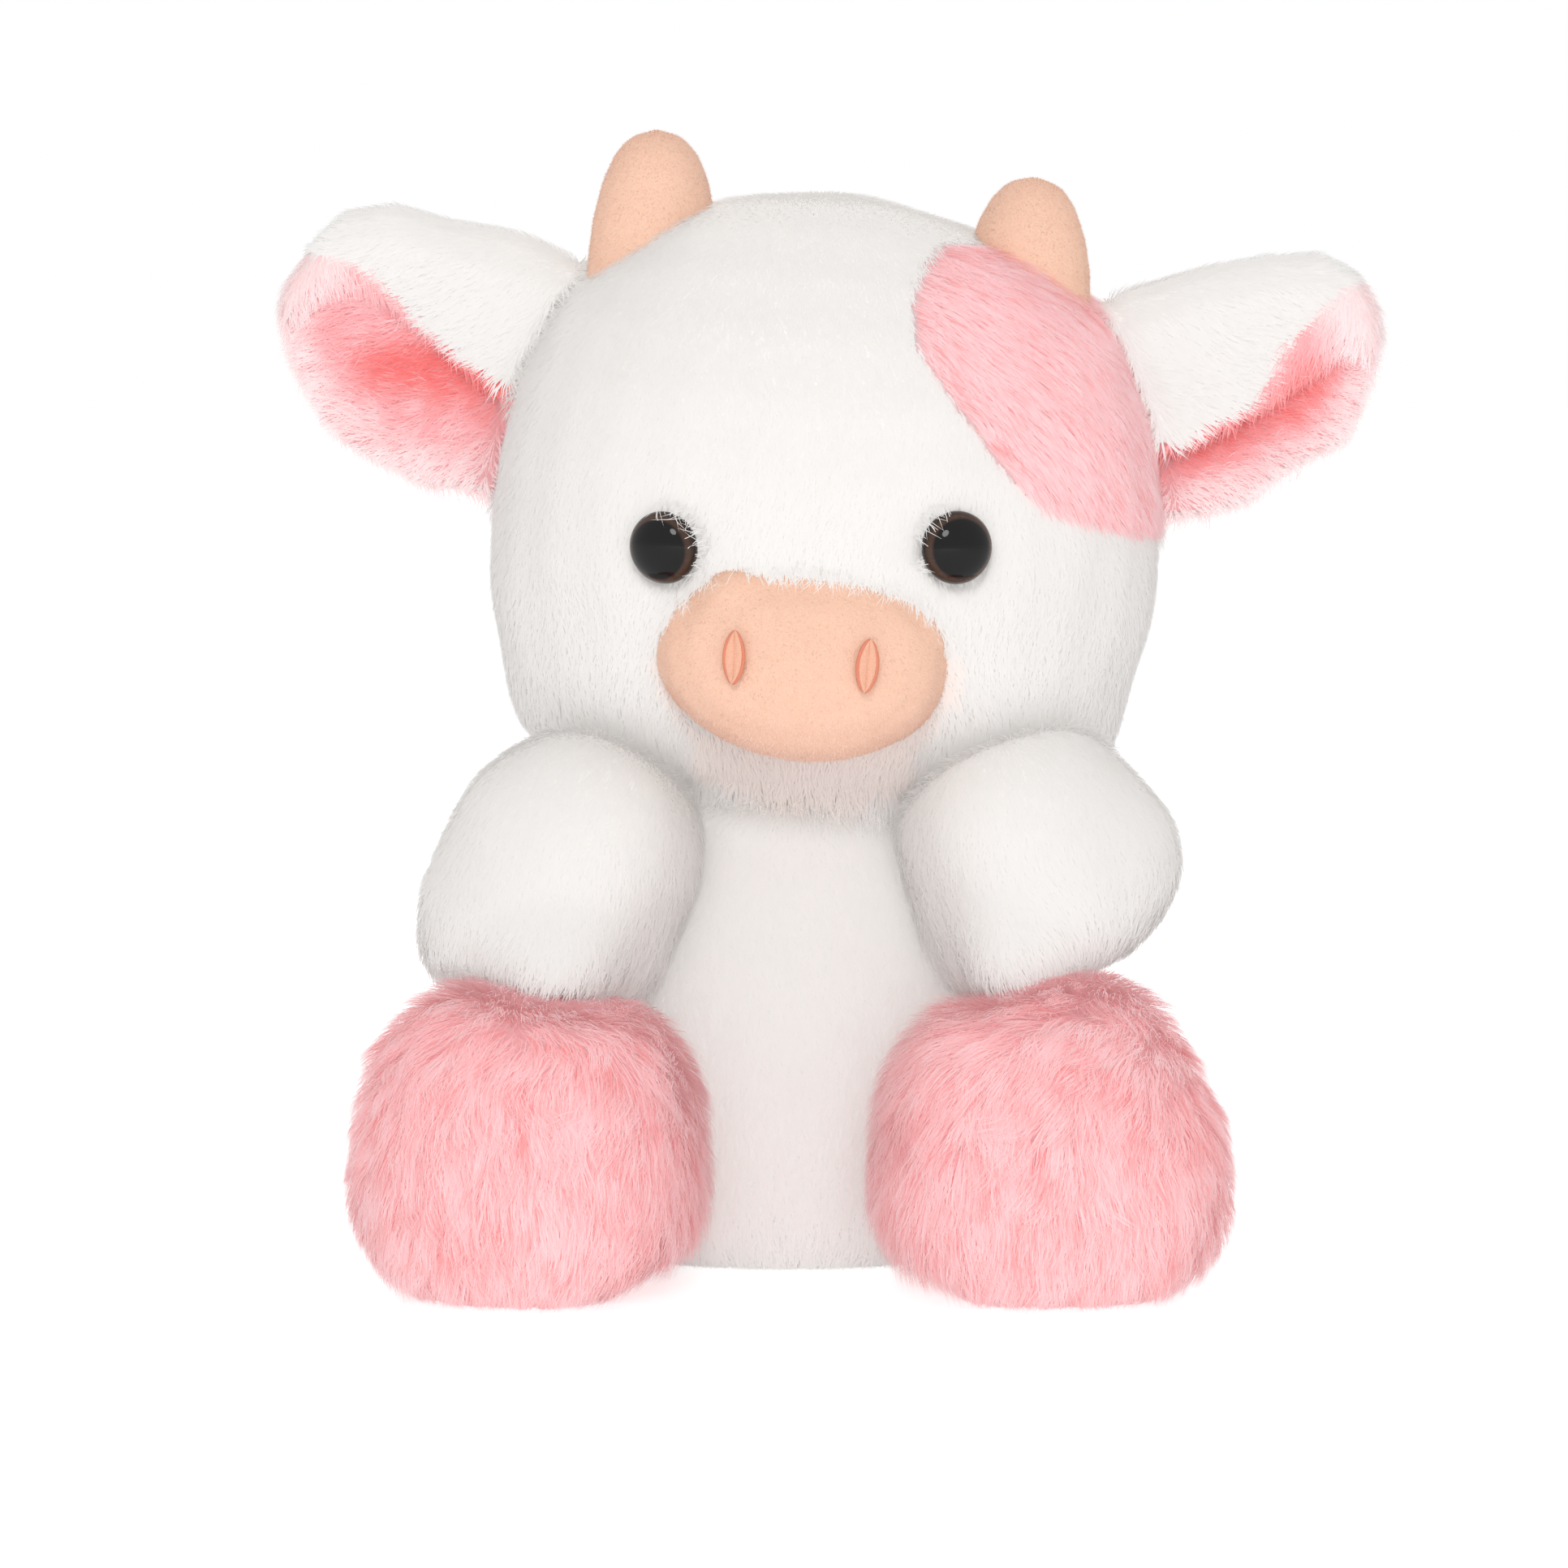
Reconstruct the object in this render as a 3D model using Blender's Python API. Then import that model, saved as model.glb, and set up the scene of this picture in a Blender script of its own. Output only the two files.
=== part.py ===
"""A seated plush cow, modelled as its sewn covers, their stuffing and its hard fittings.

The origin is the centre of the flat underside of the body, +Z is up and the face looks
along -Y. Left and right are the viewer's, so left pieces lie at -X.
"""
from functools import partial
from math import copysign, cos, pi, radians, sin, sqrt

import bmesh
import bpy
from mathutils import Matrix, Vector
from mathutils.bvhtree import BVHTree

MM = 0.001

# Clearances
SEAM_GAP = 0.3 * MM
FILL_GAP = 0.7 * MM
CHEEK_CLEARANCE = 2.4 * MM
FOOT_CLEARANCE = 1.5 * MM
EAR_ROOT_CLEARANCE = 0.5 * MM
CUT_OVERRUN = 4 * MM

# Covers: backing and pressed pile together
COVER_THICKNESS = 2.2 * MM
VELOUR_THICKNESS = 1.4 * MM
FLAT_DEPTH = 0.5 * MM

# Body
BODY_WIDTH = 100 * MM
BODY_FRONT = 41 * MM
BODY_BACK = 42 * MM
BODY_HEIGHT = 99 * MM
BODY_LEAN = 4.5 * MM
BODY_POWER = 2.2
BODY_SEGMENTS = 22
# Shares of height, half width, front and back depth
BODY_SHARES = (
    (0.005, 0.60, 0.62, 0.58),
    (0.045, 0.80, 0.84, 0.80),
    (0.12, 0.93, 0.96, 0.94),
    (0.23, 0.99, 1.00, 1.00),
    (0.36, 1.00, 1.00, 0.99),
    (0.50, 0.95, 0.95, 0.93),
    (0.64, 0.88, 0.87, 0.85),
    (0.77, 0.79, 0.77, 0.76),
    (0.88, 0.68, 0.68, 0.68),
    (0.955, 0.59, 0.62, 0.62),
    (0.985, 0.52, 0.56, 0.56),
)

# Neck seam, level, where the head turns
NECK_DROP = 3.6 * MM
NECK_SINK = 2.2 * MM
NECK_THREAD_RADIUS = 0.5 * MM
NECK_RING = -2
NECK_THREAD_SEGMENTS = 22
NECK_THREAD_SIDES = 5

# Pellet bag that weights the seat
PELLET_BAG_WIDTH = 66 * MM
PELLET_BAG_DEPTH = 54 * MM
PELLET_BAG_HEIGHT = 17 * MM
PELLET_BAG_SHARES = ((0.04, 0.60), (0.22, 0.88), (0.50, 1.00), (0.78, 0.86), (0.94, 0.55))

# Head
HEAD_WIDTH = 135 * MM
HEAD_FRONT = 56 * MM
HEAD_BACK = 55 * MM
HEAD_HEIGHT = 122 * MM
HEAD_LEAN_DEG = 3.5
HEAD_YAW_DEG = 3.5
HEAD_TURN_DEG = 6
HEAD_POWER = 2.3
HEAD_SEGMENTS = 26
# Shares of height, half width, front and back depth
HEAD_SHARES = (
    (0.008, 0.36, 0.30, 0.36),
    (0.030, 0.56, 0.44, 0.55),
    (0.065, 0.79, 0.56, 0.71),
    (0.110, 0.895, 0.67, 0.81),
    (0.170, 0.93, 0.78, 0.88),
    (0.245, 0.955, 0.87, 0.93),
    (0.340, 0.99, 0.95, 0.98),
    (0.440, 1.00, 0.99, 1.00),
    (0.560, 0.99, 1.00, 0.99),
    (0.680, 0.94, 0.955, 0.95),
    (0.785, 0.85, 0.865, 0.86),
    (0.870, 0.735, 0.75, 0.745),
    (0.935, 0.575, 0.59, 0.585),
    (0.980, 0.35, 0.36, 0.355),
)

# Pink patch beside the right horn, as shares of half width and height
PATCH_SHARES = (
    (0.235, 0.845),
    (0.265, 0.895),
    (0.33, 0.925),
    (0.46, 0.925),
    (0.50, 1.06),
    (1.30, 1.06),
    (1.30, 0.475),
    (0.885, 0.505),
    (0.665, 0.530),
    (0.565, 0.575),
    (0.385, 0.690),
    (0.275, 0.765),
)
PATCH_BACK_SHARE = 0.10

# Snout
SNOUT_WIDTH = 58 * MM
SNOUT_TOP = 17.2 * MM
SNOUT_BOTTOM = 21.5 * MM
SNOUT_DEPTH = 34 * MM
SNOUT_REACH = 11.5 * MM
SNOUT_HEIGHT_SHARE = 0.275
SNOUT_TILT_DEG = 6
SNOUT_POWER = 2.25
SNOUT_SEGMENTS = 24
SNOUT_SHARES = ((0.03, 0.80), (0.30, 0.98), (0.55, 1.00), (0.74, 0.93), (0.88, 0.76), (0.965, 0.47))

# Embroidered nostrils
NOSTRIL_WIDTH = 4.2 * MM
NOSTRIL_HEIGHT = 10.6 * MM
NOSTRIL_SPACING = 26 * MM
NOSTRIL_DROP = 3.2 * MM
NOSTRIL_THICKNESS = 0.8 * MM
NOSTRIL_SEGMENTS = 16

# Safety eyes and their locking washers
EYE_DIAMETER = 14.4 * MM
EYE_DOME = 5.2 * MM
EYE_RIM = 1.1 * MM
EYE_SPACING = 56.5 * MM
EYE_HEIGHT_SHARE = 0.441
EYE_SHANK_DIAMETER = 4.6 * MM
EYE_SHANK_LENGTH = 12 * MM
EYE_SHANK_BARB = 0.45 * MM
EYE_SEGMENTS = 20
EYE_DOME_STEPS = 5
WASHER_DIAMETER = 14 * MM
WASHER_THICKNESS = 1.6 * MM
WASHER_STANDOFF = 1.9 * MM

# Horns
HORN_DIAMETER = 23.5 * MM
HORN_LENGTH = 34 * MM
HORN_SPACING = 74.5 * MM
HORN_RISE = 12 * MM
HORN_STEP = 5 * MM
HORN_FORWARD = 9 * MM
HORN_SPLAY_DEG = 2
HORN_POWER = 2
HORN_SEGMENTS = 16
HORN_SHARES = ((0.02, 1.00), (0.34, 1.00), (0.56, 0.93), (0.73, 0.82), (0.86, 0.65), (0.95, 0.42))

# Ears: a leaf of two cloths whose top edge folds forward and down
EAR_LENGTH = 67 * MM
EAR_HEIGHT = (57 * MM, 51 * MM)
EAR_ROOT_REACH = 46 * MM
EAR_BASE_HEIGHT = (59.5 * MM, 62 * MM)
EAR_SET_BACK = 3 * MM
EAR_DISH_SHARE = 0.09
EAR_SWEEP = 4 * MM
EAR_FOLD_RADIUS = 5.6 * MM
EAR_FOLD_LEAST = 3.0 * MM
EAR_FOLD_HEIGHT_SHARE = 0.36
EAR_FLAP_LEAST = 1.2 * MM
EAR_FLAP_LEAN_SHARE = 0.3
EAR_BACK_THICKNESS = 2.2 * MM
EAR_LINING_THICKNESS = 1.8 * MM
EAR_PIVOT_REACH = 60.5 * MM
EAR_PIVOT_HEIGHT = 85 * MM
EAR_ROOT_SLOPE_DEG = 17
EAR_DROOP_DEG = (7, -3)
EAR_FLOP_DEG = 10
# Shares of length, top edge and bottom edge, then the flap's share of the height on each side
EAR_SHARES = (
    (0.00, 0.74, 0.02),
    (0.20, 0.86, 0.00),
    (0.40, 0.94, 0.00),
    (0.60, 1.00, 0.06),
    (0.76, 0.975, 0.19),
    (0.88, 0.90, 0.33),
    (0.96, 0.80, 0.47),
    (1.00, 0.71, 0.58),
)
LEFT_FLAP_SHARES = (0.72, 0.66, 0.50, 0.31, 0.17, 0.10, 0.10, 0.10)
RIGHT_FLAP_SHARES = (0.74, 0.70, 0.64, 0.55, 0.44, 0.30, 0.20, 0.14)
EAR_BACK_STEPS = 5
EAR_FOLD_STEPS = 4
EAR_FLAP_STEPS = 3

# Arms
ARM_WIDTH = 49 * MM
ARM_HEIGHT = (56 * MM, 51 * MM)
ARM_FRONT = 22 * MM
ARM_BACK = 34 * MM
ARM_INSET = 3 * MM
ARM_MIDDLE = 2.3 * MM
ARM_FORWARD = 35.5 * MM
ARM_DROP = (12.8 * MM, 8.8 * MM)
ARM_TILT_DEG = (28, 22)
ARM_TURN_DEG = 32
ARM_POWER = 2.1
ARM_SEGMENTS = 24
ARM_SWING_DEG = 18
ARM_PRESSINGS = 2
ARM_HINGE_DROP = 19.4 * MM
ARM_HINGE_REACH_SHARE = 0.82
ARM_HINGE_FORWARD = 4.5 * MM
ARM_HINGE_SLOPE_DEG = 20
# Shares of height, width, front and back depth; the paw is the fuller, lower end
ARM_SHARES = (
    (0.02, 0.50, 0.50, 0.50),
    (0.08, 0.79, 0.80, 0.78),
    (0.19, 0.97, 0.97, 0.95),
    (0.35, 1.00, 1.00, 1.00),
    (0.52, 0.96, 0.97, 0.98),
    (0.66, 0.925, 0.92, 0.935),
    (0.77, 0.85, 0.83, 0.85),
    (0.86, 0.73, 0.71, 0.73),
    (0.93, 0.56, 0.54, 0.56),
    (0.98, 0.32, 0.31, 0.32),
)

# Legs, which end in big round feet
LEG_WIDTH = 66 * MM
LEG_HEIGHT = 63 * MM
LEG_FRONT = 30 * MM
LEG_BACK = 44 * MM
LEG_OUTSET = 1.5 * MM
LEG_MIDDLE = 0.5 * MM
LEG_FORWARD = 58 * MM
LEG_TOE_OUT_DEG = 14
LEG_POWER = 2.15
LEG_SEGMENTS = 20
LEG_SPLAY_DEG = 15
LEG_SEAM_REACH_SHARE = 0.97
# Shares of height, width, front and back depth
LEG_SHARES = (
    (0.012, 0.50, 0.52, 0.52),
    (0.07, 0.76, 0.79, 0.76),
    (0.17, 0.93, 0.95, 0.92),
    (0.31, 1.00, 1.00, 1.00),
    (0.47, 0.99, 0.99, 0.98),
    (0.63, 0.95, 0.93, 0.90),
    (0.78, 0.83, 0.79, 0.75),
    (0.90, 0.62, 0.58, 0.55),
    (0.975, 0.33, 0.31, 0.29),
)

# Tail and its tuft
TAIL_DIAMETER = 7 * MM
TAIL_LENGTH = 25 * MM
TAIL_ROOT_HEIGHT = 44 * MM
TAIL_STAND_OFF = 1.2 * MM
TAIL_LIFT_DEG = 14
TAIL_SEGMENTS = 10
TAIL_SHARES = ((0.03, 0.70), (0.12, 1.00), (0.50, 0.92), (0.88, 0.84), (0.97, 0.60))
TUFT_WIDTH = 14 * MM
TUFT_DEPTH = 11 * MM
TUFT_LENGTH = 17 * MM
TUFT_SEGMENTS = 12
TUFT_SHARES = ((0.04, 0.42), (0.18, 0.80), (0.40, 1.00), (0.64, 0.90), (0.84, 0.60), (0.95, 0.32))

# Colours, linear, with roughness
WHITE_PLUSH = ((0.91, 0.89, 0.87), 0.95)
PINK_PLUSH = ((0.96, 0.53, 0.55), 0.95)
PINK_LINING = ((0.93, 0.42, 0.44), 0.95)
PEACH_VELOUR = ((0.96, 0.60, 0.46), 0.9)
CORAL_THREAD = ((0.90, 0.30, 0.25), 0.5)
WHITE_THREAD = ((0.85, 0.83, 0.80), 0.7)
DARK_EYE = ((0.03, 0.02, 0.016), 0.08)
FIBRE_FILL = ((0.88, 0.88, 0.88), 1.0)
PELLET_CLOTH = ((0.70, 0.70, 0.68), 0.9)
WASHER_PLASTIC = ((0.80, 0.80, 0.78), 0.45)

LEFT, RIGHT = -1, 1
SIDES = ((LEFT, "left"), (RIGHT, "right"))
UP = Vector((0, 0, 1))


def clear_scene():
    for item in list(bpy.data.objects):
        bpy.data.objects.remove(item, do_unlink=True)


def material(name, look):
    """One material with its own colour and roughness."""
    colour, roughness = look
    made = bpy.data.materials.new(name)
    made.use_nodes = True
    shader = made.node_tree.nodes["Principled BSDF"]
    shader.inputs["Base Color"].default_value = (*colour, 1)
    shader.inputs["Roughness"].default_value = roughness
    shader.inputs["Metallic"].default_value = 0
    made.diffuse_color = (*colour, 1)
    return made


def outline_point(angle, half_width, front, back, power):
    """A point of a rounded outline: +X to the right, the front towards -Y."""
    across, along = cos(angle), sin(angle)
    depth = back if along > 0 else front
    x = copysign(abs(across) ** (2 / power), across) * half_width
    y = copysign(abs(along) ** (2 / power), along) * depth
    return Vector((x, y, 0))


def lofted(rings, low, high, segments, power):
    """A closed form through level rings of (centre, half width, front, back), with two poles."""
    points = [low]
    for centre, half_width, front, back in rings:
        for step in range(segments):
            turn = 2 * pi * step / segments
            points.append(centre + outline_point(turn, half_width, front, back, power))
    points.append(high)
    faces = []
    last = len(points) - 1
    top = last - segments
    for step in range(segments):
        after = (step + 1) % segments
        faces.append((0, 1 + after, 1 + step))
        faces.append((last, top + step, top + after))
        for ring in range(len(rings) - 1):
            start = 1 + ring * segments
            above = start + segments
            faces.append((start + step, start + after, above + after, above + step))
    return points, faces


def turned(shares, radius, length, segments, power):
    """A closed form of round rings along +Z, from shares of length and radius."""
    rings = []
    for along, size in shares:
        reach = size * radius
        rings.append((Vector((0, 0, along * length)), reach, reach, reach))
    return lofted(rings, Vector(), Vector((0, 0, length)), segments, power)


def prism(outline, near, far):
    """A closed form between two copies of an outline of (x, z) points, at two depths."""
    count = len(outline)
    points = [Vector((x, near, z)) for x, z in outline]
    points += [Vector((x, far, z)) for x, z in outline]
    faces = [tuple(range(count)), tuple(reversed(range(count, 2 * count)))]
    for step in range(count):
        after = (step + 1) % count
        faces.append((after, step, count + step, count + after))
    return points, faces


def sheet_solid(outer, inner):
    """A closed form between two grids of points with the same rows and columns."""
    rows, columns = len(outer), len(outer[0])
    points = [point for row in outer for point in row]
    points += [point for row in inner for point in row]
    under = rows * columns
    faces = []
    for row in range(rows - 1):
        for column in range(columns - 1):
            a = row * columns + column
            square = (a, a + 1, a + 1 + columns, a + columns)
            faces.append(square)
            faces.append(tuple(under + corner for corner in reversed(square)))
    edge = [column for column in range(columns)]
    edge += [row * columns + columns - 1 for row in range(1, rows)]
    edge += [(rows - 1) * columns + column for column in range(columns - 2, -1, -1)]
    edge += [row * columns for row in range(rows - 2, 0, -1)]
    for step, corner in enumerate(edge):
        after = edge[(step + 1) % len(edge)]
        faces.append((after, corner, under + corner, under + after))
    return points, faces


def placed(form, matrix):
    points, faces = form
    return [matrix @ point for point in points], faces


def filled_mesh(form):
    """A bmesh of the form with its faces pointing out."""
    points, faces = form
    mesh = bmesh.new()
    corners = [mesh.verts.new(point) for point in points]
    for face in faces:
        mesh.faces.new([corners[index] for index in face])
    bmesh.ops.recalc_face_normals(mesh, faces=mesh.faces)
    if mesh.calc_volume(signed=True) < 0:
        bmesh.ops.reverse_faces(mesh, faces=mesh.faces)
    mesh.normal_update()
    return mesh


def grown(form, distance):
    """The same form, with its surface moved out by a distance, or in by a negative one."""
    mesh = filled_mesh(form)
    points = [corner.co + corner.normal * distance for corner in mesh.verts]
    faces = [tuple(corner.index for corner in face.verts) for face in mesh.faces]
    mesh.free()
    return points, faces


def surface_tree(form):
    mesh = filled_mesh(form)
    tree = BVHTree.FromBMesh(mesh)
    mesh.free()
    return tree


def pressed(form, obstacle, clearance, pose):
    """The form, pushed out of an obstacle's clearance where it comes nearer in a pose."""
    points, faces = form
    tree = surface_tree(obstacle)
    back = pose.inverted()
    moved = []
    for point in points:
        there = pose @ point
        near, normal, _, distance = tree.find_nearest(there)
        inside = (there - near).dot(normal) < 0
        if inside or distance < clearance:
            there = near + normal * clearance
        moved.append(back @ there)
    return moved, faces


def new_object(name, form, origin):
    """An object of the form, with its own origin at a point of the world."""
    points, faces = form
    mesh = filled_mesh(([point - origin for point in points], faces))
    data = bpy.data.meshes.new(name)
    mesh.to_mesh(data)
    mesh.free()
    item = bpy.data.objects.new(name, data)
    item.location = origin
    bpy.context.scene.collection.objects.link(item)
    return item


def piece(name, form, look, origin):
    item = new_object(name, form, origin)
    item.data.materials.append(look)
    item.data.shade_smooth()
    return item


def cutter(name, form):
    """A guide for a cut, which is no piece itself."""
    item = new_object(name, form, Vector())
    item.display_type = "WIRE"
    item.hide_render = True
    return item


def cut(item, tool, operation="DIFFERENCE"):
    modifier = item.modifiers.new(tool.name, "BOOLEAN")
    modifier.operation = operation
    modifier.solver = "EXACT"
    modifier.object = tool


def about_axis(centre, axis, degrees):
    """A turn of the world about an axis through a point."""
    turn = Matrix.Rotation(radians(degrees), 4, axis)
    return Matrix.Translation(centre) @ turn @ Matrix.Translation(-centre)


def layers_of(form):
    """A function that gives the form's surface at a depth below it."""
    return lambda depth: grown(form, -depth)


def sack(name, layer_at, thickness, looks, origin, cutters):
    """A sewn cover and its stuffing, both cut open by the larger neighbours."""
    cover_look, fill_look = looks
    cover = piece(name + "_cover", layer_at(0), cover_look, origin)
    cut(cover, cutter("inside_of_" + name, layer_at(thickness)))
    stuffing = piece(name + "_stuffing", layer_at(thickness + FILL_GAP), fill_look, origin)
    for tool in cutters:
        cut(cover, tool)
        cut(stuffing, tool)
    return cover, stuffing


def slab(name, low, high):
    """A wide level block between two heights, for flat cuts."""
    reach = HEAD_WIDTH + LEG_FORWARD
    corners = ((-reach, low), (reach, low), (reach, high), (-reach, high))
    return cutter(name, prism(corners, -reach, reach))


def body_form():
    rings = []
    for height, breadth, front, back in BODY_SHARES:
        level = height * BODY_HEIGHT - FLAT_DEPTH
        centre = Vector((height * BODY_LEAN, 0, level))
        rings.append((centre, breadth * BODY_WIDTH / 2, front * BODY_FRONT, back * BODY_BACK))
    low = Vector((0, 0, -FLAT_DEPTH))
    high = Vector((BODY_LEAN, 0, BODY_HEIGHT))
    return lofted(rings, low, high, BODY_SEGMENTS, BODY_POWER)


def neck_point():
    return Vector((BODY_LEAN, 0, BODY_HEIGHT - NECK_DROP))


def head_place():
    """From the head's own frame, with its lowest point at the origin, to the world."""
    lean = Matrix.Rotation(radians(HEAD_LEAN_DEG), 4, "Y")
    yaw = Matrix.Rotation(radians(-HEAD_YAW_DEG), 4, "Z")
    sink = Matrix.Translation(-UP * NECK_SINK)
    return Matrix.Translation(neck_point()) @ yaw @ lean @ sink


def head_form():
    rings = []
    for height, breadth, front, back in HEAD_SHARES:
        centre = UP * height * HEAD_HEIGHT
        rings.append((centre, breadth * HEAD_WIDTH / 2, front * HEAD_FRONT, back * HEAD_BACK))
    form = lofted(rings, Vector(), UP * HEAD_HEIGHT, HEAD_SEGMENTS, HEAD_POWER)
    return placed(form, head_place())


def patch_form():
    """A block whose outline is the patch's, from before the face back to the crown seam."""
    outline = []
    for across, height in PATCH_SHARES:
        outline.append((across * HEAD_WIDTH / 2, height * HEAD_HEIGHT))
    form = prism(outline, -HEAD_FRONT - CUT_OVERRUN, PATCH_BACK_SHARE * HEAD_BACK)
    return placed(form, head_place())


def face_point(head, across, height):
    """The point and the outward normal of the face, in the world, seen from straight ahead."""
    place = head_place()
    start = place @ Vector((across, -2 * HEAD_FRONT, height))
    forward = place.to_3x3() @ Vector((0, 1, 0))
    point, normal, _, _ = surface_tree(head).ray_cast(start, forward)
    return point, normal


def make_body(looks, body, floor, neck_gap):
    bag = pellet_bag_form()
    pair = (looks["body_cover"], looks["body_stuffing"])
    cover, stuffing = sack("body", layers_of(body), COVER_THICKNESS, pair, Vector(), ())
    cut(cover, floor)
    cut(cover, neck_gap)
    cut(stuffing, neck_gap)
    cut(stuffing, cutter("hollow_for_pellet_bag", grown(bag, SEAM_GAP)))
    piece("pellet_bag", bag, looks["pellet_bag"], Vector())


def pellet_bag_form():
    """A flat round bag that lies on the bottom of the body's cover."""
    low = UP * (COVER_THICKNESS - FLAT_DEPTH + SEAM_GAP)
    rings = []
    for height, size in PELLET_BAG_SHARES:
        centre = low + UP * height * PELLET_BAG_HEIGHT
        half_depth = size * PELLET_BAG_DEPTH / 2
        rings.append((centre, size * PELLET_BAG_WIDTH / 2, half_depth, half_depth))
    high = low + UP * PELLET_BAG_HEIGHT
    return lofted(rings, low, high, BODY_SEGMENTS, BODY_POWER)


def make_neck_thread(looks):
    """The ladder stitch's thread, a ring in the crease of the neck."""
    _, breadth, front, back = BODY_SHARES[NECK_RING]
    level = neck_point() - UP * NECK_THREAD_RADIUS
    points, faces = [], []
    for step in range(NECK_THREAD_SEGMENTS):
        turn = 2 * pi * step / NECK_THREAD_SEGMENTS
        for side in range(NECK_THREAD_SIDES):
            roll = 2 * pi * side / NECK_THREAD_SIDES
            out = SEAM_GAP + NECK_THREAD_RADIUS * (1 + cos(roll))
            sizes = (breadth * BODY_WIDTH / 2 + out, front * BODY_FRONT + out, back * BODY_BACK + out)
            around = outline_point(turn, *sizes, BODY_POWER)
            points.append(level + around + UP * NECK_THREAD_RADIUS * sin(roll))
            next_step = (step + 1) % NECK_THREAD_SEGMENTS
            next_side = (side + 1) % NECK_THREAD_SIDES
            a = step * NECK_THREAD_SIDES
            b = next_step * NECK_THREAD_SIDES
            faces.append((a + side, b + side, b + next_side, a + next_side))
    piece("neck_thread", (points, faces), looks["neck_thread"], neck_point())


def make_head(looks, head, neck_gap):
    pair = (looks["head_cover"], looks["head_stuffing"])
    cover, stuffing = sack("head", layers_of(head), COVER_THICKNESS, pair, neck_point(), (neck_gap,))
    make_patch(looks, head, cover)
    make_snout(looks, head)
    make_eyes(looks, head, cover, stuffing)


def make_patch(looks, head, cover):
    """The patch is its own panel of the cover, let into an opening of the same outline."""
    block = patch_form()
    panel = piece("head_patch", head, looks["head_patch"], neck_point())
    cut(panel, cutter("inside_of_head_patch", grown(head, -COVER_THICKNESS)))
    cut(panel, cutter("outline_of_head_patch", block), "INTERSECT")
    cut(cover, cutter("opening_for_head_patch", grown(block, SEAM_GAP)))


def snout_frame(head):
    """The snout's own frame on the face: +Z ahead, +Y down."""
    point, _ = face_point(head, 0, SNOUT_HEIGHT_SHARE * HEAD_HEIGHT)
    ahead = Matrix.Rotation(radians(90 - SNOUT_TILT_DEG), 4, "X")
    turn = head_place().to_3x3().to_4x4()
    back = Matrix.Translation(UP * (SNOUT_REACH - SNOUT_DEPTH))
    return Matrix.Translation(point) @ turn @ ahead @ back


def snout_form(head):
    rings = []
    for along, size in SNOUT_SHARES:
        centre = UP * along * SNOUT_DEPTH
        rings.append((centre, size * SNOUT_WIDTH / 2, size * SNOUT_BOTTOM, size * SNOUT_TOP))
    form = lofted(rings, Vector(), UP * SNOUT_DEPTH, SNOUT_SEGMENTS, SNOUT_POWER)
    return placed(form, snout_frame(head))


def make_snout(looks, head):
    form = snout_form(head)
    face = cutter("face_behind_snout", grown(head, SEAM_GAP))
    pair = (looks["snout_cover"], looks["snout_stuffing"])
    sack("snout", layers_of(form), VELOUR_THICKNESS, pair, neck_point(), (face,))
    frame = snout_frame(head)
    skin = grown(form, SEAM_GAP + NOSTRIL_THICKNESS)
    under = cutter("snout_under_nostrils", grown(form, SEAM_GAP))
    for side, word in SIDES:
        oval = []
        for step in range(NOSTRIL_SEGMENTS):
            turn = 2 * pi * step / NOSTRIL_SEGMENTS
            across = side * NOSTRIL_SPACING / 2 + cos(turn) * NOSTRIL_WIDTH / 2
            oval.append((across, sin(turn) * NOSTRIL_HEIGHT / 2 - NOSTRIL_DROP))
        column = prism(oval, -SNOUT_DEPTH - CUT_OVERRUN, -SNOUT_DEPTH / 2)
        stand = frame @ Matrix.Rotation(radians(-90), 4, "X")
        name = "nostril_" + word
        pad = piece(name, placed(column, stand), looks[name], neck_point())
        cut(pad, cutter("outside_of_" + name, skin), "INTERSECT")
        cut(pad, under)


def eye_shares():
    """The eye's side as (radius, height) points, from the shank's end to the dome's top."""
    shank = EYE_SHANK_DIAMETER / 2
    barb = shank + EYE_SHANK_BARB
    rim = EYE_DIAMETER / 2
    outline = [(shank - EYE_SHANK_BARB, -EYE_SHANK_LENGTH), (shank, -EYE_SHANK_LENGTH + EYE_SHANK_BARB)]
    outline += [(shank, 0), (rim - EYE_SHANK_BARB, 0), (rim, EYE_SHANK_BARB), (rim, EYE_RIM)]
    for step in range(1, EYE_DOME_STEPS):
        turn = pi / 2 * step / EYE_DOME_STEPS
        outline.append((rim * cos(turn), EYE_RIM + (EYE_DOME - EYE_RIM) * sin(turn)))
    return outline, barb


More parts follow.
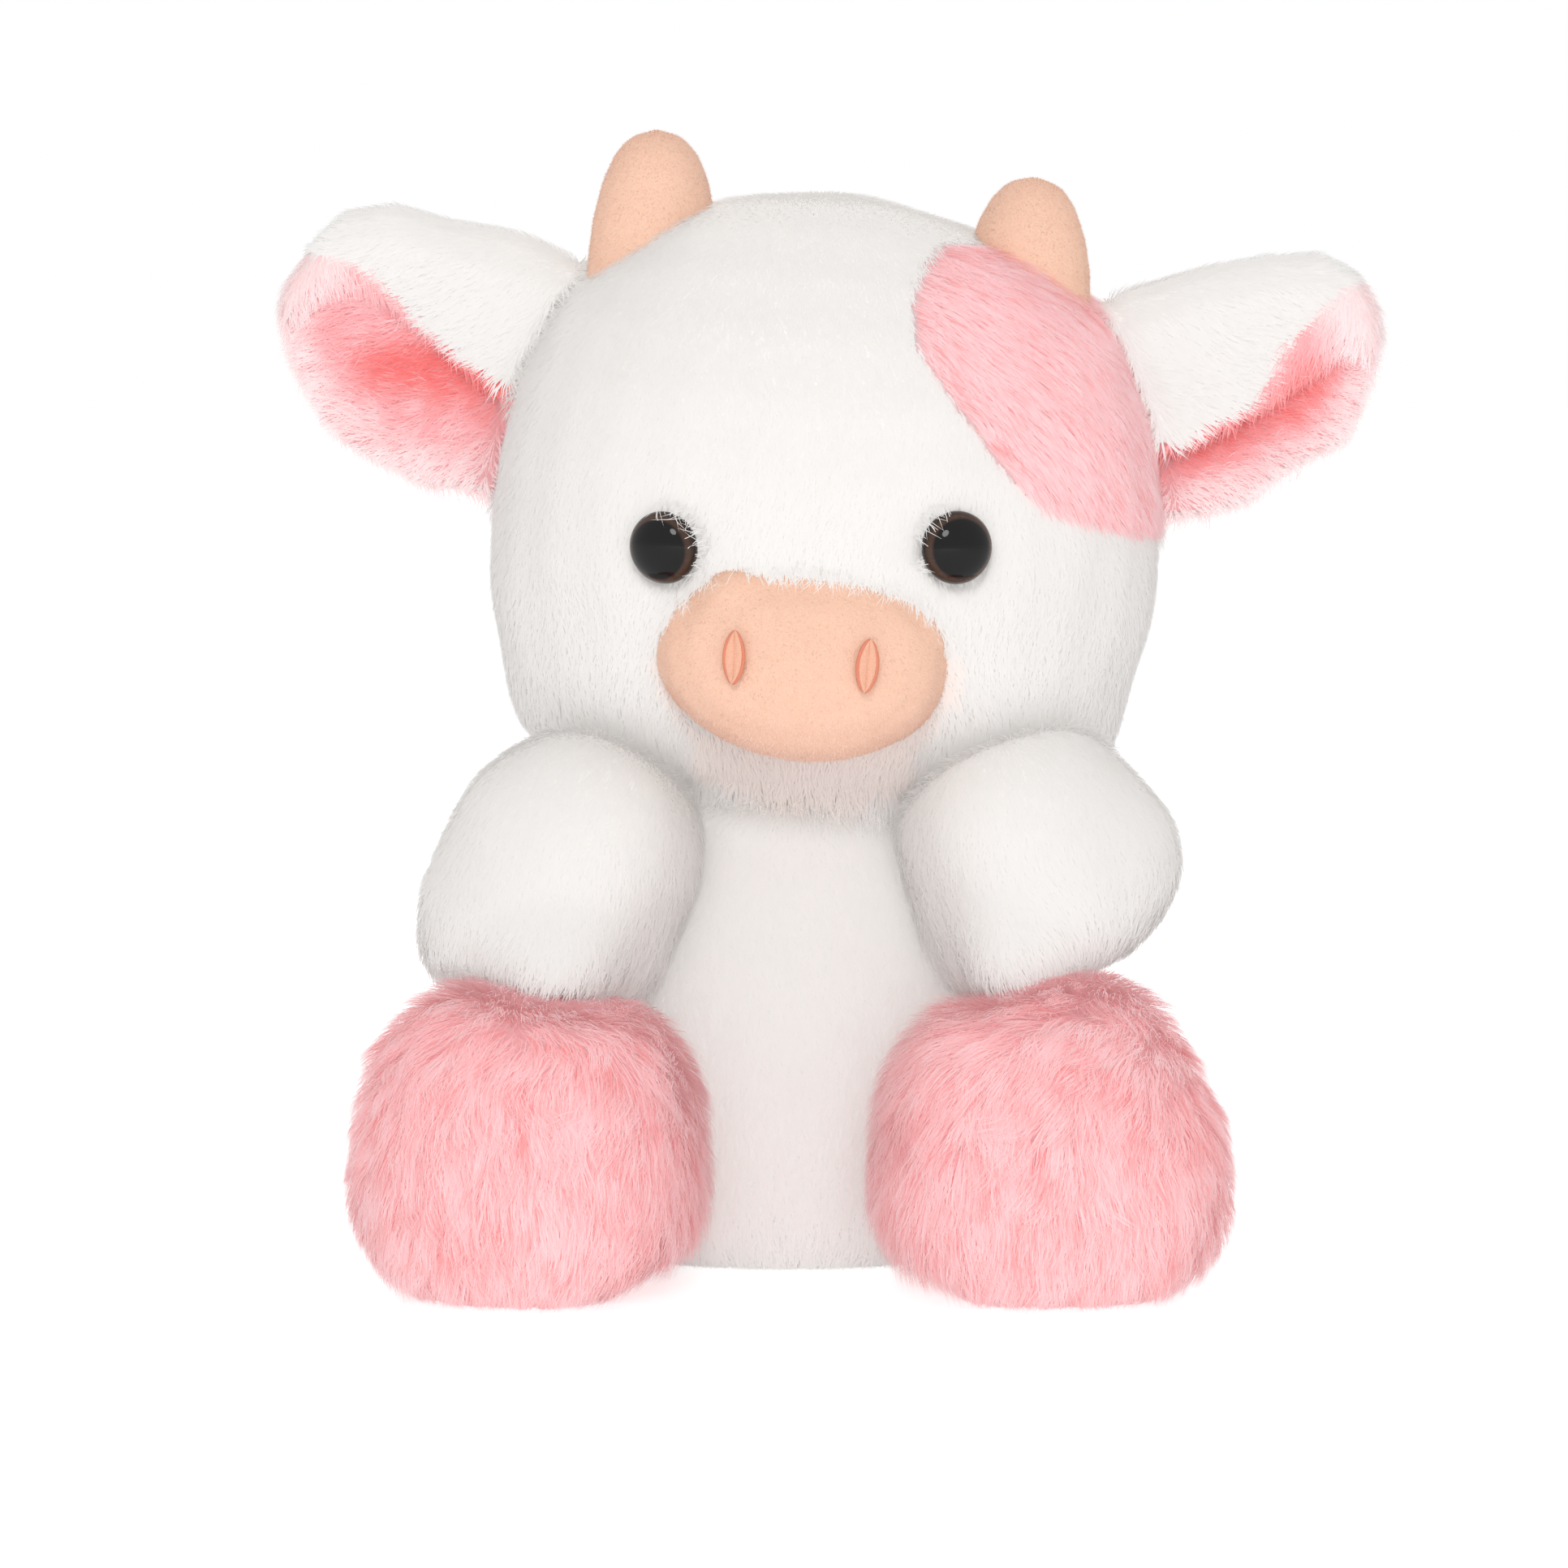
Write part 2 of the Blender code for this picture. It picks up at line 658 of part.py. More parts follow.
def make_eyes(looks, head, cover, stuffing):
    """Safety eyes: each shank goes through the cover and a washer locks it from inside."""
    for side, word in SIDES:
        across = side * EYE_SPACING / 2
        level = EYE_HEIGHT_SHARE * HEAD_HEIGHT + across * sin(radians(HEAD_LEAN_DEG))
        point, normal = face_point(head, across, level)
        seat = Matrix.Translation(point + normal * SEAM_GAP)
        stand = seat @ normal.to_track_quat("Z", "Y").to_matrix().to_4x4()
        outline, barb = eye_shares()
        rings = [(UP * height, radius, radius, radius) for radius, height in outline]
        form = lofted(rings, UP * -EYE_SHANK_LENGTH, UP * EYE_DOME, EYE_SEGMENTS, 2)
        piece("eye_" + word, placed(form, stand), looks["eye_" + word], neck_point())
        bore = barb + SEAM_GAP
        near = -COVER_THICKNESS - WASHER_STANDOFF - SEAM_GAP
        far = near - WASHER_THICKNESS
        half = WASHER_DIAMETER / 2
        disc = [(bore, far), (half, far), (half, near), (bore, near)]
        washer = placed(ring_solid(disc, EYE_SEGMENTS), stand)
        piece("eye_washer_" + word, washer, looks["eye_washer_" + word], neck_point())
        end = -EYE_SHANK_LENGTH - CUT_OVERRUN
        hole = stepped_drum(((bore, end), (bore, EYE_DOME)))
        cut(cover, cutter("hole_for_eye_" + word, placed(hole, stand)))
        wide, shelf = half + SEAM_GAP, far - SEAM_GAP
        room = stepped_drum(((bore, end), (bore, shelf), (wide, shelf), (wide, EYE_DOME)))
        cut(stuffing, cutter("room_for_washer_" + word, placed(room, stand)))


def ring_solid(profile, segments):
    """A turned ring from its closed (radius, height) outline, about +Z."""
    points, faces = [], []
    count = len(profile)
    for step in range(segments):
        turn = 2 * pi * step / segments
        after = (step + 1) % segments
        for corner, (radius, height) in enumerate(profile):
            points.append(Vector((radius * cos(turn), radius * sin(turn), height)))
            follow = (corner + 1) % count
            a = step * count
            b = after * count
            faces.append((a + corner, b + corner, b + follow, a + follow))
    return points, faces


def stepped_drum(outline):
    """A turned block along +Z from the (radius, height) points of its side, lowest first."""
    rings = [(UP * height, radius, radius, radius) for radius, height in outline]
    return lofted(rings, UP * outline[0][1], UP * outline[-1][1], EYE_SEGMENTS, 2)


def make_horns(looks, head):
    scalp = cutter("scalp_under_horns", grown(head, SEAM_GAP))
    for side, word in SIDES:
        tip = HEAD_HEIGHT + HORN_RISE - (side + 1) / 2 * HORN_STEP
        foot = Vector((side * HORN_SPACING / 2, -HORN_FORWARD, tip - HORN_LENGTH))
        splay = Matrix.Rotation(radians(side * HORN_SPLAY_DEG), 4, "Y")
        stand = head_place() @ Matrix.Translation(foot) @ splay
        form = placed(turned(HORN_SHARES, HORN_DIAMETER / 2, HORN_LENGTH, HORN_SEGMENTS, HORN_POWER), stand)
        name = "horn_" + word
        pair = (looks[name + "_cover"], looks[name + "_stuffing"])
        sack(name, layers_of(form), VELOUR_THICKNESS, pair, neck_point(), (scalp,))


def ear_section(top, bottom, flap, fold):
    """The ear's edge-on curve as (y, z) points: up the back, over the fold, down the flap."""
    curve = []
    fold = min(fold, EAR_FOLD_HEIGHT_SHARE * (top - bottom))
    dish = EAR_DISH_SHARE * (top - bottom)
    rise = top - fold - bottom
    for step in range(EAR_BACK_STEPS):
        share = step / EAR_BACK_STEPS
        curve.append((dish * sin(pi * share), bottom + rise * share))
    for step in range(EAR_FOLD_STEPS + 1):
        turn = pi * step / EAR_FOLD_STEPS
        curve.append((fold * cos(turn) - fold, top - fold + fold * sin(turn)))
    drop = max(flap * (top - bottom) - fold, EAR_FLAP_LEAST)
    lean = min(dish / 2, EAR_FLAP_LEAN_SHARE * drop)
    for step in range(1, EAR_FLAP_STEPS + 1):
        share = step / EAR_FLAP_STEPS
        curve.append((-2 * fold + lean * share * share, top - fold - drop * share))
    return curve


def moved_aside(curve, distance):
    """The curve, moved sideways towards its outer side."""
    moved = []
    for index, (y, z) in enumerate(curve):
        y0, z0 = curve[max(index - 1, 0)]
        y1, z1 = curve[min(index + 1, len(curve) - 1)]
        run = sqrt((y1 - y0) ** 2 + (z1 - z0) ** 2)
        moved.append((y + (z1 - z0) / run * distance, z - (y1 - y0) / run * distance))
    return moved


def ear_grid(side, flaps, distance):
    """Points of one face of an ear's cloth, in the head's frame."""
    root = Vector((side * EAR_PIVOT_REACH, 0, EAR_PIVOT_HEIGHT))
    index = (side + 1) // 2
    droop = about_axis(root, Vector((0, side, 0)), EAR_DROOP_DEG[index])
    height = EAR_HEIGHT[index]
    rows = []
    for (out, top, bottom), flap in zip(EAR_SHARES, flaps):
        fold = EAR_FOLD_LEAST + (EAR_FOLD_RADIUS - EAR_FOLD_LEAST) * (1 - out)
        curve = ear_section(top * height, bottom * height, flap, fold)
        x = side * (EAR_ROOT_REACH + out * EAR_LENGTH)
        sweep = EAR_SET_BACK + EAR_SWEEP * out * out
        row = []
        for y, z in moved_aside(curve, distance):
            row.append(droop @ Vector((x, y + sweep, EAR_BASE_HEIGHT[index] + z)))
        rows.append(row)
    return rows


def ear_axis(side):
    """The root seam of an ear in the world: a point, and the direction up along it."""
    place = head_place()
    slope = radians(EAR_ROOT_SLOPE_DEG)
    centre = place @ Vector((side * EAR_PIVOT_REACH, 0, EAR_PIVOT_HEIGHT))
    along = place.to_3x3() @ Vector((-side * sin(slope), 0, cos(slope)))
    return centre, along


def make_ears(looks, head):
    """Each ear is a white back and a pink lining, cut by the head at the root seam."""
    half_gap = SEAM_GAP / 2
    scalp = grown(head, EAR_ROOT_CLEARANCE)
    for (side, word), flaps in zip(SIDES, (LEFT_FLAP_SHARES, RIGHT_FLAP_SHARES)):
        centre, along = ear_axis(side)
        scalps = []
        for turn in (-EAR_FLOP_DEG, EAR_FLOP_DEG):
            seen = placed(scalp, about_axis(centre, along, turn))
            scalps.append(cutter("scalp_%+d_from_ear_%s" % (turn, word), seen))
        layers = (
            ("ear_" + word + "_back", half_gap + EAR_BACK_THICKNESS, half_gap),
            ("ear_" + word + "_lining", -half_gap, -half_gap - EAR_LINING_THICKNESS),
        )
        for name, outer, inner in layers:
            form = sheet_solid(ear_grid(side, flaps, outer), ear_grid(side, flaps, inner))
            cloth = piece(name, placed(form, head_place()), looks[name], centre)
            for tool in scalps:
                cut(cloth, tool)


def leg_axis(side):
    """The outer end of a leg's seam on the body, where the leg hinges."""
    breadth = LEG_SEAM_REACH_SHARE * BODY_WIDTH / 2
    depth = BODY_FRONT * (1 - LEG_SEAM_REACH_SHARE ** BODY_POWER) ** (1 / BODY_POWER)
    return Vector((side * breadth, -depth, LEG_HEIGHT / 2))


def leg_form(side):
    rings = []
    for height, breadth, front, back in LEG_SHARES:
        centre = UP * (height * (LEG_HEIGHT + FLAT_DEPTH) - FLAT_DEPTH)
        rings.append((centre, breadth * LEG_WIDTH / 2, front * LEG_FRONT, back * LEG_BACK))
    form = lofted(rings, UP * -FLAT_DEPTH, UP * LEG_HEIGHT, LEG_SEGMENTS, LEG_POWER)
    foot = Vector((LEG_MIDDLE + side * (BODY_WIDTH / 2 + LEG_OUTSET), -LEG_FORWARD, 0))
    toe = Matrix.Rotation(radians(side * LEG_TOE_OUT_DEG), 4, "Z")
    return placed(form, Matrix.Translation(foot) @ toe)


def make_legs(looks, torso, floor):
    for side, word in SIDES:
        hip = leg_axis(side)
        name = "leg_" + word
        pair = (looks[name + "_cover"], looks[name + "_stuffing"])
        layers = layers_of(leg_form(side))
        cover, _ = sack(name, layers, COVER_THICKNESS, pair, hip, (torso,))
        cut(cover, floor)


def arm_axis(side):
    """The outer edge of an arm's seam, where the arm hinges: a point, and the direction along it."""
    level = neck_point().z - ARM_HINGE_DROP
    across = level / BODY_HEIGHT * BODY_LEAN + side * ARM_HINGE_REACH_SHARE * BODY_WIDTH / 2
    slope = radians(ARM_HINGE_SLOPE_DEG)
    along = Vector((-sin(slope), 0, side * cos(slope)))
    return Vector((across, -ARM_HINGE_FORWARD, level)), along


def arm_layer(side, head, depth):
    """A layer of a paw that fills out below and ahead, pressed clear of the cheek and the foot."""
    index = (side + 1) // 2
    rings = []
    half = ARM_HEIGHT[index] / 2
    for height, breadth, front, back in ARM_SHARES:
        centre = UP * (height * 2 * half - half)
        rings.append((centre, breadth * ARM_WIDTH / 2, front * ARM_FRONT, back * ARM_BACK))
    form = lofted(rings, UP * -half, UP * half, ARM_SEGMENTS, ARM_POWER)
    across = ARM_MIDDLE + side * (BODY_WIDTH / 2 - ARM_INSET)
    middle = Vector((across, -ARM_FORWARD, neck_point().z - ARM_DROP[index]))
    tilt = Matrix.Rotation(radians(-side * ARM_TILT_DEG[index]), 4, "Y")
    turn = Matrix.Rotation(radians(side * ARM_TURN_DEG), 4, "Z")
    form = grown(placed(form, Matrix.Translation(middle) @ tilt @ turn), -depth)
    shoulder, along = arm_axis(side)
    for arm_degrees in (0, ARM_SWING_DEG) * ARM_PRESSINGS:
        swing = about_axis(shoulder, along, arm_degrees)
        for leg_degrees in (0, LEG_SPLAY_DEG):
            splay = about_axis(leg_axis(side), UP, side * leg_degrees)
            form = pressed(form, placed(leg_form(side), splay), FOOT_CLEARANCE + depth, swing)
        for head_degrees in (-HEAD_TURN_DEG, 0, HEAD_TURN_DEG):
            turned_head = placed(head, about_axis(neck_point(), UP, head_degrees))
            form = pressed(form, turned_head, CHEEK_CLEARANCE + depth, swing)
    return form


def make_arms(looks, torso, head):
    for side, word in SIDES:
        name = "arm_" + word
        pair = (looks[name + "_cover"], looks[name + "_stuffing"])
        shoulder, _ = arm_axis(side)
        layers = partial(arm_layer, side, head)
        sack(name, layers, COVER_THICKNESS, pair, shoulder, (torso,))


def tail_axis(body):
    """The tail's root in the world: a point, and the direction straight out of the back."""
    behind = Vector((0, 2 * BODY_BACK, TAIL_ROOT_HEIGHT))
    point, normal, _, _ = surface_tree(body).ray_cast(behind, Vector((0, -1, 0)))
    return point + normal * TAIL_STAND_OFF, normal


def make_tail(looks, torso, body):
    """A short tail that hangs from the back seam and ends in a tuft."""
    root, _ = tail_axis(body)
    down = Matrix.Translation(root) @ Matrix.Rotation(pi + radians(TAIL_LIFT_DEG), 4, "X")
    stem = placed(turned(TAIL_SHARES, TAIL_DIAMETER / 2, TAIL_LENGTH, TAIL_SEGMENTS, 2), down)
    rings = []
    start = TAIL_LENGTH + SEAM_GAP - TUFT_LENGTH * TAIL_SHARES[0][0]
    for along, size in TUFT_SHARES:
        centre = UP * (start + along * TUFT_LENGTH)
        half_depth = size * TUFT_DEPTH / 2
        rings.append((centre, size * TUFT_WIDTH / 2, half_depth, half_depth))
    tuft = lofted(rings, UP * start, UP * (start + TUFT_LENGTH), TUFT_SEGMENTS, 2)
    tail = piece("tail", stem, looks["tail"], root)
    cut(tail, torso)
    end = piece("tail_tuft", placed(tuft, down), looks["tail_tuft"], root)
    cut(end, cutter("tail_in_tuft", grown(stem, SEAM_GAP)))


def make_looks():
    """A material for each piece, under the piece's own name."""
    looks = {
        "body_cover": WHITE_PLUSH,
        "body_stuffing": FIBRE_FILL,
        "pellet_bag": PELLET_CLOTH,
        "neck_thread": WHITE_THREAD,
        "head_cover": WHITE_PLUSH,
        "head_stuffing": FIBRE_FILL,
        "head_patch": PINK_PLUSH,
        "snout_cover": PEACH_VELOUR,
        "snout_stuffing": FIBRE_FILL,
        "tail": WHITE_PLUSH,
        "tail_tuft": PINK_PLUSH,
    }
    for _, word in SIDES:
        looks["nostril_" + word] = CORAL_THREAD
        looks["eye_" + word] = DARK_EYE
        looks["eye_washer_" + word] = WASHER_PLASTIC
        looks["ear_" + word + "_back"] = WHITE_PLUSH
        looks["ear_" + word + "_lining"] = PINK_LINING
        looks["horn_" + word + "_cover"] = PEACH_VELOUR
        looks["arm_" + word + "_cover"] = WHITE_PLUSH
        looks["leg_" + word + "_cover"] = PINK_PLUSH
        for limb in ("horn_", "arm_", "leg_"):
            looks[limb + word + "_stuffing"] = FIBRE_FILL
    return {name: material(name, look) for name, look in looks.items()}


def main():
    clear_scene()
    looks = make_looks()
    body = body_form()
    head = head_form()
    floor = slab("floor_cut", -HEAD_HEIGHT, 0)
    neck = neck_point().z
    above_neck = slab("cut_above_neck", neck - SEAM_GAP, neck + HEAD_HEIGHT)
    below_neck = slab("cut_below_neck", neck - HEAD_HEIGHT, neck + SEAM_GAP)
    torso = cutter("torso_beside_limbs", grown(body, SEAM_GAP))
    make_body(looks, body, floor, above_neck)
    make_neck_thread(looks)
    make_head(looks, head, below_neck)
    make_horns(looks, head)
    make_ears(looks, head)
    make_legs(looks, torso, floor)
    make_arms(looks, torso, head)
    make_tail(looks, torso, body)


main()
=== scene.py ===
"""A seated plush cow: its sewn covers with their pile, velour, thread and glossy eyes."""
from math import cos, pi, radians, sin

import bmesh
import bpy
import numpy as np
from bpy.props import FloatProperty, FloatVectorProperty, PointerProperty
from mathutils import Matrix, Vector
from mathutils.bvhtree import BVHTree
from mathutils.kdtree import KDTree


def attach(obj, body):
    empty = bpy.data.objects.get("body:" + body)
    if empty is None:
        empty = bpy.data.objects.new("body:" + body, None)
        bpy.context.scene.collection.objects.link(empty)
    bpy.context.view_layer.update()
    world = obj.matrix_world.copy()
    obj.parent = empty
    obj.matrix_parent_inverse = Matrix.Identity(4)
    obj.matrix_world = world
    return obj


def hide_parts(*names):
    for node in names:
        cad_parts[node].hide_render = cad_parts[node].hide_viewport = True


bl_info = {
    "name": "Plush Cow",
    "version": (1, 0, 0),
    "blender": (4, 5, 0),
    "location": "3D View > Sidebar > Plush Cow",
    "description": "Dresses the plush cow's sewn parts in pile, velour and thread",
    "category": "Object",
}

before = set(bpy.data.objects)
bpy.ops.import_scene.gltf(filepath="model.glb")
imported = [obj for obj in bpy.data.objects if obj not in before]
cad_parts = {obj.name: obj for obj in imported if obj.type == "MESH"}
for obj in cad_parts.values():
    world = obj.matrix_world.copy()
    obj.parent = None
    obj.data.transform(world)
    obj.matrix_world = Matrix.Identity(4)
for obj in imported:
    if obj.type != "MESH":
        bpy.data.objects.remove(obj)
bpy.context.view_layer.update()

MM = 0.001
UP = np.array((0.0, 0.0, 1.0))
SIDES = ((-1, "left"), (1, "right"))
TONE_MAP = "OFBake"

# Sewing
FACE_MIDDLE = 3 * MM
BACKING = 1.4 * MM
FLOOR_GAP = 0.4 * MM
STUFFING_VOXEL = 3 * MM
REACH = 14 * MM
NECK_STEPS = 22
SEAM_STEPS = 72
NOSTRIL_ROWS = 34
NOSTRIL_STEPS = 40

# Eyes: rings behind the rim as a share of its radius and a level in mm, the sides of a
# ring, and how far the rim lies from the middle of the map
EYE_BACK = ((0.26, -12), (0.32, -11.5), (0.32, -1.4), (0.88, -1.3), (0.96, -1), (0.99, -0.5))
EYE_SIDES = 56
EYE_MAP = 0.48

# Strands: how much narrower one gets towards its tip, how much its own direction counts
# in its shading, and how much that is turned up to the sky
TAPER = 0.35
STRAND_SHADE = 0.3
LIFTED_SHADE = 0.22
# How much of its colour a strand gives off as light when it is seen from behind: a painted glow
# that stands in for light shining through it
BACKSIDE_GLOW = 0.15

# Dark and light colours of the small and the hidden pieces
FILLING_COLOURS = ((0.78, 0.78, 0.77), (0.9, 0.9, 0.89))
POUCH_COLOURS = ((0.55, 0.55, 0.53), (0.75, 0.75, 0.72))
WASHER_COLOURS = ((0.7, 0.7, 0.68), (0.82, 0.82, 0.8))
# Painted reflection: middle and light colours of the white pile that takes on the snout's colour
# beside and below it
SNOUT_BOUNCE_COLOURS = ((0.93, 0.85, 0.815), (0.93, 0.87, 0.84))
NECK_THREAD = (0.85, 0.83, 0.8)
SEAM_THREAD = (0.8, 0.4, 0.31)
EDGE_THREAD = (0.76, 0.25, 0.15)

# Where the camera looks, in mm, and where the lamps point
CAMERA_AIM = (-0.67, 0, 96.7)
LAMP_AIM = (0, 0, 0.11)

# Lamps: name, place, size and share of the main lamp's power
LAMPS = (
    ("key", (-0.45, -1.35, 1.0), 0.9, 0.2),
    ("fill", (0.3, -1.35, 0.1), 0.9, 0.4),
    ("window", (-0.1, -1.3, 0.85), 0.42, 0.5),
    ("back", (0.1, 1.1, 1.1), 1.0, 0.68))
# The floor's own glow, and how much more of it the camera and reflections see
FLOOR_GLOW = (0.34, 0.24)

# Patch: heights and how far across it goes at each, and its lowest edge
PATCH_SIDE = ((0.149, 0.157, 0.162, 0.166, 0.191, 0.200, 0.206),
              (0.0735, 0.090, 0.0805, 0.0755, 0.066, 0.066, 0.090))
PATCH_LOW = 150.3 * MM

# Shifts of the stuffed forms in mm: the place, how far round it they reach, and the shift
SHIFTS = {
    "head": (
        ((-62, -30, 134), (26, 70, 32), (-1.3, 0, 0)),
        ((77, -30, 134), (26, 70, 28), (1.2, 0, 0)),
        ((4, -20, 215), (46, 70, 24), (0, 0, 1.4)),
        ((36, -20, 212), (22, 60, 18), (0, 0, -2.2))),
    "snout": (
        ((3, -62, 102), (28, 40, 11), (0, 0, -1.9)),
        ((-27, -55, 120), (9, 40, 18), (-1.1, 0, 0)),
        ((33, -55, 122), (9, 40, 18), (-0.7, 0, 0))),
    "ear_left": (
        ((-88, -20, 214), (22, 70, 16), (-2.3, 0, 2.8)),
        ((-93, -20, 169), (18, 70, 18), (-2.4, 0, -1.9)),
        ((-67, -20, 155), (14, 70, 12), (0, 0, 2.4)),
        ((-54, -20, 211), (14, 70, 14), (0, 0, 1.3))),
    "ear_right": (
        ((113, -20, 204), (20, 70, 16), (0.8, 0, 3.2)),
        ((123, -20, 179), (16, 70, 22), (-4.4, 0, 1)),
        ((105, -20, 157), (20, 70, 16), (-2.8, 0, 3.3)),
        ((85, -20, 150), (14, 70, 11), (0, 0, 1.5))),
    "arm_left": (
        ((-63, -30, 98), (16, 60, 18), (-1.2, 0, 0.8)),
        ((-74, -30, 62), (18, 60, 17), (-3.5, 0, -4.5)),
        ((-44, -57, 66), (21, 19, 15), (0, -7, -3))),
    "arm_right": (
        ((76, -30, 92), (17, 60, 22), (3, 0, 1.6)),
        ((41, -57, 66), (19, 19, 15), (-1, -6, -3))),
    "leg_left": (
        ((-88, -40, 3), (17, 90, 20), (4.8, 0, 0)),
        ((-24, -40, 2), (17, 90, 16), (-5.4, 0, 0)),
        ((-45, -57, 63), (22, 28, 17), (0, 0, -6))),
    "leg_right": (
        ((27, -40, 2), (15, 90, 15), (4, 0, 0)),
        ((82, -40, 47), (20, 90, 20), (-1.8, 0, -1.8)),
        ((94, -40, 15), (15, 90, 24), (2.9, 0, 0)),
        ((42, -57, 63), (20, 28, 17), (0, 0, -4))),
}

# Ears: the line of the deep fold, and across and height of the turned edge, by side
EAR_FOLD = {
    -1: ((-0.081, 0.182), (-0.068, 0.183), (-0.056, 0.177)),
    1: ((0.070, 0.160), (0.086, 0.169), (0.098, 0.174), (0.106, 0.182))}
# How far from the fold the painted shade on the lining reaches, and how dark it gets, by side
EAR_FOLD_SHADE = {-1: (10 * MM, 0.5), 1: (8 * MM, 0.36)}
EAR_TURN = {
    -1: ((-0.110, -0.097, -0.086, -0.072, -0.057), (0.207, 0.206, 0.204, 0.190, 0.179)),
    1: ((0.075, 0.086, 0.095, 0.101, 0.112, 0.118, 0.124),
        (0.164, 0.172, 0.175, 0.188, 0.199, 0.201, 0.194))}


def length_setting(name, description, default, low, high):
    return FloatProperty(
        name=name, description=description, default=default, min=low, max=high,
        subtype="DISTANCE", unit="LENGTH")


def colour_setting(name, description, default):
    return FloatVectorProperty(
        name=name, description=description, default=default, size=3, min=0, max=1,
        subtype="COLOR")


class PileSettings(bpy.types.PropertyGroup):
    """Lengths and colours of the cow's cloths."""

    white_length: length_setting(
        "White pile length", "Length of one strand of the white plush",
        5.2 * MM, 1 * MM, 12 * MM)
    white_width: length_setting(
        "White strand width", "Width of one strand of the white plush",
        0.31 * MM, 0.1 * MM, 1 * MM)
    white_density: FloatProperty(
        name="White strands per mm2", description="How closely the white strands stand",
        default=3.2, min=0.2, max=8)
    pink_length: length_setting(
        "Foot pile length", "Length of one strand of the long pink fur",
        12.5 * MM, 3 * MM, 20 * MM)
    pink_width: length_setting(
        "Foot strand width", "Width of one strand of the long pink fur",
        0.22 * MM, 0.1 * MM, 1 * MM)
    pink_density: FloatProperty(
        name="Foot strands per mm2", description="How closely the long pink strands stand",
        default=3.2, min=0.2, max=8)
    patch_length: length_setting(
        "Patch pile length", "Strand length of the pink patch and ear linings",
        7.5 * MM, 2 * MM, 15 * MM)
    nap_length: length_setting(
        "Velour nap length", "Strand length on the snout and the horns",
        0.9 * MM, 0.3 * MM, 3 * MM)
    nap_density: FloatProperty(
        name="Velour strands per mm2", description="How closely the velour's strands stand",
        default=7, min=1, max=16)
    white: colour_setting(
        "White plush", "Colour of the white pile", (0.868, 0.854, 0.84))
    # Colour that painted shade darkens the white pile to, in creases and at the roots of the
    # strands
    white_shaded: colour_setting(
        "White plush in folds", "Colour of the white pile in its deepest folds",
        (0.80, 0.71, 0.66))
    pink: colour_setting(
        "Pink plush", "Colour of the feet and the patch", (0.95, 0.66, 0.675))
    # The darkest pink, for strands that are darker at random and for painted shade in creases and
    # at the roots
    pink_dark_and_shaded: colour_setting(
        "Pink plush in folds", "Colour of the pink pile in its deepest folds", (0.88, 0.36, 0.36))
    pink_light: colour_setting(
        "Pink plush on top", "Colour of the lightest pink strands", (0.97, 0.75, 0.765))
    lining_edge: colour_setting(
        "Ear lining at its edge", "Colour of the ear lining near the white rim",
        (0.96, 0.875, 0.88))
    lining: colour_setting(
        "Ear lining", "Colour of the ear linings", (0.955, 0.53, 0.55))
    # Painted shade: the ear lining darkens to this colour under its fold
    lining_fold_shade: colour_setting(
        "Ear lining in the fold", "Colour of the ear lining under its fold", (0.92, 0.23, 0.22))
    velour: colour_setting(
        "Peach velour", "Colour of the snout and the horns", (0.98, 0.645, 0.485))
    velour_light: colour_setting(
        "Peach velour, lit", "Colour of the velour's lightest strands", (1, 0.75, 0.64))
    thread: colour_setting(
        "Nostril thread", "Colour of the satin thread of the nostrils", (0.95, 0.50, 0.35))


class EyeSettings(bpy.types.PropertyGroup):
    """The glossy plastic eyes."""

    pupil_share: FloatProperty(
        name="Pupil share", description="Diameter of the pupil as a share of the eye's",
        default=0.8, min=0.3, max=1, subtype="FACTOR")
    iris: colour_setting(
        "Iris", "Colour of the brown rim round the pupil", (0.06, 0.031, 0.02))
    pupil: colour_setting(
        "Pupil", "Colour of the pupil", (0.004, 0.004, 0.004))


class StageSettings(bpy.types.PropertyGroup):
    """Floor, light and camera."""

    floor: colour_setting(
        "Floor", "Colour of the floor", (0.84, 0.84, 0.84))
    sky: FloatProperty(
        name="Soft light", description="Strength of the light from all round",
        default=0.585, min=0, max=3)
    key: FloatProperty(
        name="Main lamp", description="Power of the large lamp in front",
        default=8.8, min=0, max=200, unit="POWER")
    distance: length_setting(
        "Camera distance", "Distance from the camera to the toy", 1.2, 0.3, 5)
    elevation: FloatProperty(
        name="Camera elevation", description="How far the camera looks down",
        default=radians(4), min=-1.5, max=1.5, subtype="ANGLE", unit="ROTATION")
    lens: FloatProperty(
        name="Lens", description="Focal length of the camera",
        default=134.16, min=10, max=400, subtype="DISTANCE_CAMERA", unit="CAMERA")


# Surfaces as arrays of points and faces

def lengths(vectors):
    return np.sqrt((vectors ** 2).sum(axis=1))


def unit(vectors):
    return vectors / np.maximum(lengths(vectors), 1e-12)[:, None]


def dots(first, second):
    return (first * second).sum(axis=1)


def laid(vectors, normals):
    """Vectors laid down on surfaces with these normals, at length one."""
    return unit(vectors - normals * dots(vectors, normals)[:, None])


